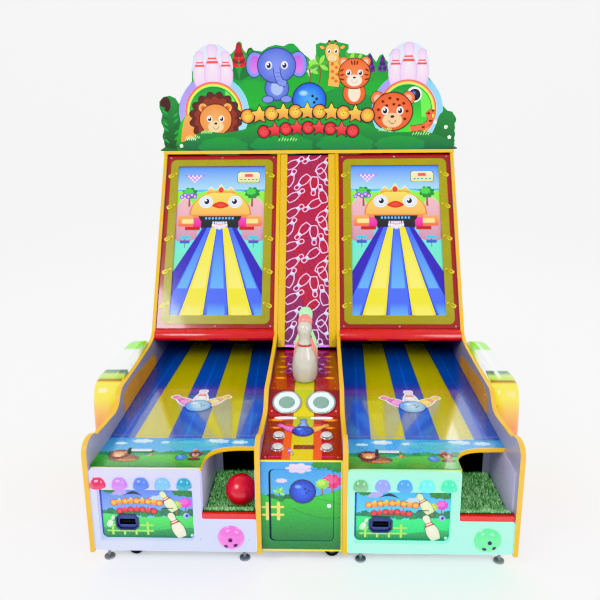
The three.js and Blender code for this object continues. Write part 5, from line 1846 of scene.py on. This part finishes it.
# ---- Side lamps ----------------------------------------------------------------------------------
LAMP_OUTLINE = ((-468, 330), (-460, 264), (-416, 240), (-240, 240), (-60, 244), (44, 292), (112, 400),
                (133, 500), (132, 590), (104, 650), (40, 668), (-60, 662), (-180, 648), (-260, 636),
                (-300, 628), (-380, 618), (-432, 590), (-460, 530), (-467, 440))
LAMP_BANDS = ((-180, "#D06018"), (-120, "#2E9C3C"), (-30, "#3CA43C"), (60, "#6CD030"), (91, "#98E048"),
              (93, "#F4F8F8"), (134, "#F0F4F4"), (136, "#4A6850"), (140, "#5C8458"), (142, "#B4D05C"),
              (146, "#A8C04C"), (147, "#8C6014"), (148.5, "#8C6014"), (149.5, "#FFF038"), (160, "#FFEE34"),
              (168, "#FFC42C"), (178, "#FF9838"), (190, "#FF8028"))


LAMP_HEART = (-60, 400)


def lamp_reach(y):
    """How far the lens stands out from the board: it is thinner towards the back."""
    return 133 - 47 * min(1, max(0, (y + 330) / 400))


def lamp_colour(y, z):
    """The colour of the band that a point lies in, by its direction from the heart."""
    turn = math.degrees(math.atan2(z - LAMP_HEART[1], y - LAMP_HEART[0]))
    turn = turn if turn > -150 else turn + 360
    for (t0, low), (t1, high) in zip(LAMP_BANDS, LAMP_BANDS[1:]):
        if t0 <= turn <= t1:
            return mixed(linear(low), linear(high), (turn - t0) / (t1 - t0))
    return linear(LAMP_BANDS[-1][1])


def side_lamp(word, side):
    """A blown lens with rainbow bands, wide at the front and narrower to the back."""
    outline = smooth_loop(LAMP_OUTLINE, 7)
    heart, bulge, wall = LAMP_HEART, 34, HALF_WIDTH + 0.6
    rings = [(0, 0), (0.5, 0)] + [(1 - (1 - math.sin(a * math.pi / 16)) * 0.26,
                                   1 - math.cos(a * math.pi / 16)) for a in range(0, 9)]
    verts, colours = [], []
    for out, pull in rings:
        for y, z in outline:
            away = Vector((heart[0] - y, heart[1] - z)).normalized() * bulge * pull
            verts.append((side * (wall + lamp_reach(y) * out), y + away.x, z + away.y))
            colours.append(lamp_colour(y, z))
    count = len(outline)
    heart_colour = linear("#FFB438")
    for share, own in ((0.62, 0.5), (0.3, 0.1), (0.02, 0.0)):
        for y, z in outline:
            y1, z1 = heart[0] + (y - heart[0]) * share * 0.9, heart[1] + (z - heart[1]) * share * 0.9
            verts.append((side * (wall + lamp_reach(y1)), y1, z1))
            colours.append(mixed(heart_colour, lamp_colour(y, z), own))
    faces = []
    levels = len(rings) + 3
    for i in range(levels - 1):
        for j in range(count):
            k = (j + 1) % count
            face = (i * count + j, (i + 1) * count + j, (i + 1) * count + k, i * count + k)
            faces.append(face if side < 0 else face[::-1])
    faces.append(tuple(range((levels - 1) * count, levels * count))[::1 if side > 0 else -1])
    faces.append(tuple(range(count))[::-1 if side > 0 else 1])
    build = Build().add(verts, faces, 0, None, True)
    total = len(build.verts)
    x0, x1 = sorted((side * (wall + 13), side * (wall + 20)))
    for low, high in ((470, 520), (370, 455), (318, 352)):
        build.block(x0, x1, -470, -465, low, high, 1)
    lamp = build.finish(f"side_lens_{word}", ["lens", "vent"], slot="yellow_lens")
    layer = lamp.data.color_attributes.new("print", "FLOAT_COLOR", "POINT")
    shades = colours + [linear("#6A3C10")] * (len(build.verts) - total)
    layer.data.foreach_set("color", [c for colour in shades for c in colour])
    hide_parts(f"side_lamp_{word}")


for word, side in SIDES:
    side_lamp(word, side)


# ---- Lane walls ----------------------------------------------------------------------------------
def wall_window(word, side):
    """The amber window set in the outer board beside the lane."""
    inner = HALF_WIDTH - BOARD
    outline = [(-452, 466), (172, 492), (172, 548), (120, 560), (-300, 582), (-452, 560)]
    place = panel((side * inner, 0, 0), (0, side * -1, 0), (side * -1, 0, 0))
    shape = smooth_corners([(y * side * -1, z) for y, z in outline], 14)
    window = Build(place).prism(shape, 0.2, 2.2, 0)
    for y, z in ((-400, 548), (-120, 566), (130, 548), (130, 500), (-130, 488)):
        add_screw(window, moved(y * side * -1, z, 2.2), 3.5, 1)
    window.finish(f"wall_window_{word}", ["amber", "zinc", "hole"], slot="lamp_lens", bevel=0.6)


for word, side in SIDES:
    wall_window(word, side)


# ---- Feet and casters ----------------------------------------------------------------------------
def caster_parts():
    """Tyres and hubs for the casters."""
    for name in [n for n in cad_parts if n.startswith("caster_wheel")]:
        low, high = span(name)
        centre, radius, half = (low + high) / 2, (high.z - low.z) / 2, (high.y - low.y) / 2
        place = moved(*centre) @ turned("X", 90)
        build = Build(place)
        profile = [(radius * 0.62, -half), (radius - 4, -half), (radius - 1.2, -half + 2),
                   (radius, -half + 6), (radius, half - 6), (radius - 1.2, half - 2), (radius - 4, half),
                   (radius * 0.62, half)]
        build.lathe(profile + profile[:1], 40, 0)
        build.lathe([(radius * 0.63, -half + 2), (radius * 0.25, -half + 3), (radius * 0.25, -half + 0.6),
                     (4.6, -half + 0.6), (4.6, half - 0.6), (radius * 0.25, half - 0.6),
                     (radius * 0.25, half - 3), (radius * 0.63, half - 2)], 32, 1)
        wheel = build.finish(f"tyre_{name[13:]}", ["rubber", "wheel_hub"], body=name, slot="wheel_rubber")
        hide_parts(name)


caster_parts()


# ---- Rear ----------------------------------------------------------------------------------------
BACK = panel((0, REAR, 0), (-1, 0, 0), (0, 1, 0))
HINGE_X = 833


def rear_louvres():
    """Three sets of seven slats, each one a blade that hangs down from the board."""
    grille = Build(BACK)
    section = [(0, 0), (0, 14), (1.2, 15), (6.5, 4), (6.5, 0)]
    for centre in (-560, 0, 560):
        for row in range(7):
            v = 1290 + 22 * row
            grille.prism(section, -80, 80, 0, moved(centre, v, 0.2) @ panel((0, 0, 0), (0, 1, 0), (1, 0, 0)))
    grille.finish("rear_louvres", "black", slot="black_board", bevel=0.5)


def power_inlet():
    """A socket with three pins and a switch, on a plate."""
    inlet = Build(BACK)
    inlet.prism(rounded(-40, 150, 40, 212, 5), 0.2, 3.4, 0)
    inlet.prism(rounded(-30, 160, 6, 202, 3), 3.4, 5, 1)
    inlet.block(14, 32, 166, 196, 3.4, 6.5, 1)
    # The socket's three holes are dark blocks: painted shade.
    for u in (-24, -12, 0):
        inlet.block(u - 1.5, u + 1.5, 176, 186, 4.9, 5.3, 2)
    for u in (-36, 36):
        add_screw(inlet, moved(u, 181, 3.4), 3, 2)
    inlet.finish("power_inlet", ["zinc", "plastic", "painted_hole_shade", "hole"], slot="frame_steel", bevel=0.4)


def rear_battens():
    """Three battens across the back, with a row of screws in each."""
    frames = Build(BACK)
    for v in (75, 1060, 1628):
        frames.block(-860, 860, v, v + 20, 0.1, 2.2, 0)
    for u in range(-820, 821, 205):
        for v in (85, 1070, 1638):
            add_screw(frames, moved(u, v, 2.2), 4, 1)
    frames.finish("rear_battens", ["black", "zinc", "hole"], slot="black_board", bevel=0.6)


def rear_door_fittings(word, side):
    """The cabinet's leaf and the barrel of three hinges, and the door's lock.

    The barrel stands outboard of the joint's axis, so that the opened door clears it."""
    hinge = Build()
    barrel_x = side * (HINGE_X + 6)
    x0, x1 = sorted((side * (HINGE_X + 3.2), side * (HINGE_X + 30)))
    for v in (240, 560, 900):
        for k in range(5):
            place = moved(barrel_x, REAR + 3.1, v + 16 * k)
            hinge.lathe([(0, 0), (3, 0), (3, 15), (0, 15)], 18, 0, place)
        hinge.block(x0, x1, REAR + 0.1, REAR + 2, v, v + 80, 0)
    hinge.finish(f"rear_hinges_{word}", "zinc", slot="chrome_trim", bevel=0.4)
    door = f"rear_door_{word}"
    key_lock(f"rear_lock_{word}", panel((side * 250, span(door)[1].y, 600), (-1, 0, 0), (0, 1, 0)), door,
             [(13, 0.1), (13, 2.4), (11, 3.4), (0, 3.4)], (1.2, 6, 0.5), 32)


def side_details(word, side):
    """Bolt heads and a vent on the outer board. The photo does not show this face: a modest guess."""
    place = panel((side * HALF_WIDTH, 0, 0), (0, side, 0), (side, 0, 0))
    bolts = Build(place)
    for y, z in ((-905, 110), (-905, 400), (-450, 110), (0, 110), (450, 110), (940, 110), (940, 500),
                 (940, 900), (940, 1300), (940, 1600), (500, 1130), (500, 760)):
        add_screw(bolts, moved(side * y, z, 0.2), 9)
    bolts.finish(f"side_bolts_{word}", ["zinc", "hole"], slot="chrome_trim")
    vent = Build(place)
    left, right = sorted((side * 640, side * 860))
    plate(vent, rounded(left - 14, 1166, right + 14, 1334, 10),
          [rounded(left, 1180 + 24 * k, right, 1190 + 24 * k, 4) for k in range(6)], 0.2, 3.2)
    vent.block(left - 4, right + 4, 1172, 1328, 0.1, 0.8, 1)
    for row in range(6):
        vent.block(left, right, 1184 + 24 * row, 1190 + 24 * row, 0.8, 2.4, 0)
    vent.finish(f"side_vent_{word}", ["black", "pit"], slot="black_board", bevel=0.5)


rear_louvres()
power_inlet()
rear_battens()
for word, side in SIDES:
    rear_door_fittings(word, side)
for word, side in SIDES:
    side_details(word, side)


# ---- Camera, lights and floor --------------------------------------------------------------------
def look_from(place, pitch, yaw, roll, lens):
    """A camera that looks along +Y, turned left by yaw, down by pitch, and rolled."""
    data = bpy.data.cameras.new("camera")
    data.lens, data.sensor_width = lens, 36
    camera = bpy.data.objects.new("camera", data)
    bpy.context.collection.objects.link(camera)
    camera.matrix_world = (Matrix.Translation(place) @ turned("Z", yaw) @ turned("X", 90 - pitch)
                           @ turned("Z", roll))
    bpy.context.scene.camera = camera


def light(name, place, target, size, power):
    data = bpy.data.lights.new(name, "AREA")
    data.shape, data.size, data.energy = "DISK", size, power
    lamp = bpy.data.objects.new(name, data)
    bpy.context.collection.objects.link(lamp)
    lamp.location = place
    lamp.rotation_euler = (Vector(target) - Vector(place)).to_track_quat("-Z", "Y").to_euler()


def surroundings():
    floor_look = bpy.data.materials.new("floor")
    floor_look.use_nodes = True
    shader = floor_look.node_tree.nodes["Principled BSDF"]
    shader.inputs["Base Color"].default_value = (0.9, 0.9, 0.9, 1)
    shader.inputs["Roughness"].default_value = 0.7
    shader.inputs["Emission Color"].default_value = (1, 1, 1, 1)
    shader.inputs["Emission Strength"].default_value = 0.3
    mesh = bpy.data.meshes.new("floor")
    reach, wall, radius, steps = 30, 9, 4, 16
    line = [(-reach, 0)] + [(wall - radius + radius * math.sin(t * math.pi / 2 / steps),
                             radius - radius * math.cos(t * math.pi / 2 / steps)) for t in range(steps + 1)]
    line.append((wall, 24))
    verts = [(x, y, z) for y, z in line for x in (-reach, reach)]
    faces = [(2 * i, 2 * i + 1, 2 * i + 3, 2 * i + 2) for i in range(len(line) - 1)]
    mesh.from_pydata(verts, [], faces)
    for face in mesh.polygons:
        face.use_smooth = True
    mesh.materials.append(floor_look)
    floor = bpy.data.objects.new("floor", mesh)
    bpy.context.collection.objects.link(floor)
    world = bpy.data.worlds.new("studio")
    world.use_nodes = True
    world.node_tree.nodes["Background"].inputs["Color"].default_value = (1.0, 1.0, 1.0, 1)
    world.node_tree.nodes["Background"].inputs["Strength"].default_value = 0.85
    bpy.context.scene.world = world
    light("key", (-3.2, -4.5, 4.6), (0, 0, 0.9), 2.6, 210)
    light("fill", (3.6, -4.2, 3.2), (0, 0, 0.9), 3.0, 130)
    light("back", (0.5, 4.6, 4.0), (0, 0, 1.0), 3.0, 120)
    bpy.context.scene.view_settings.view_transform = "Khronos PBR Neutral"


look_from((0.0751, -3.3259, 1.752), 14.143, 1.828, -0.449, 38.99)
surroundings()
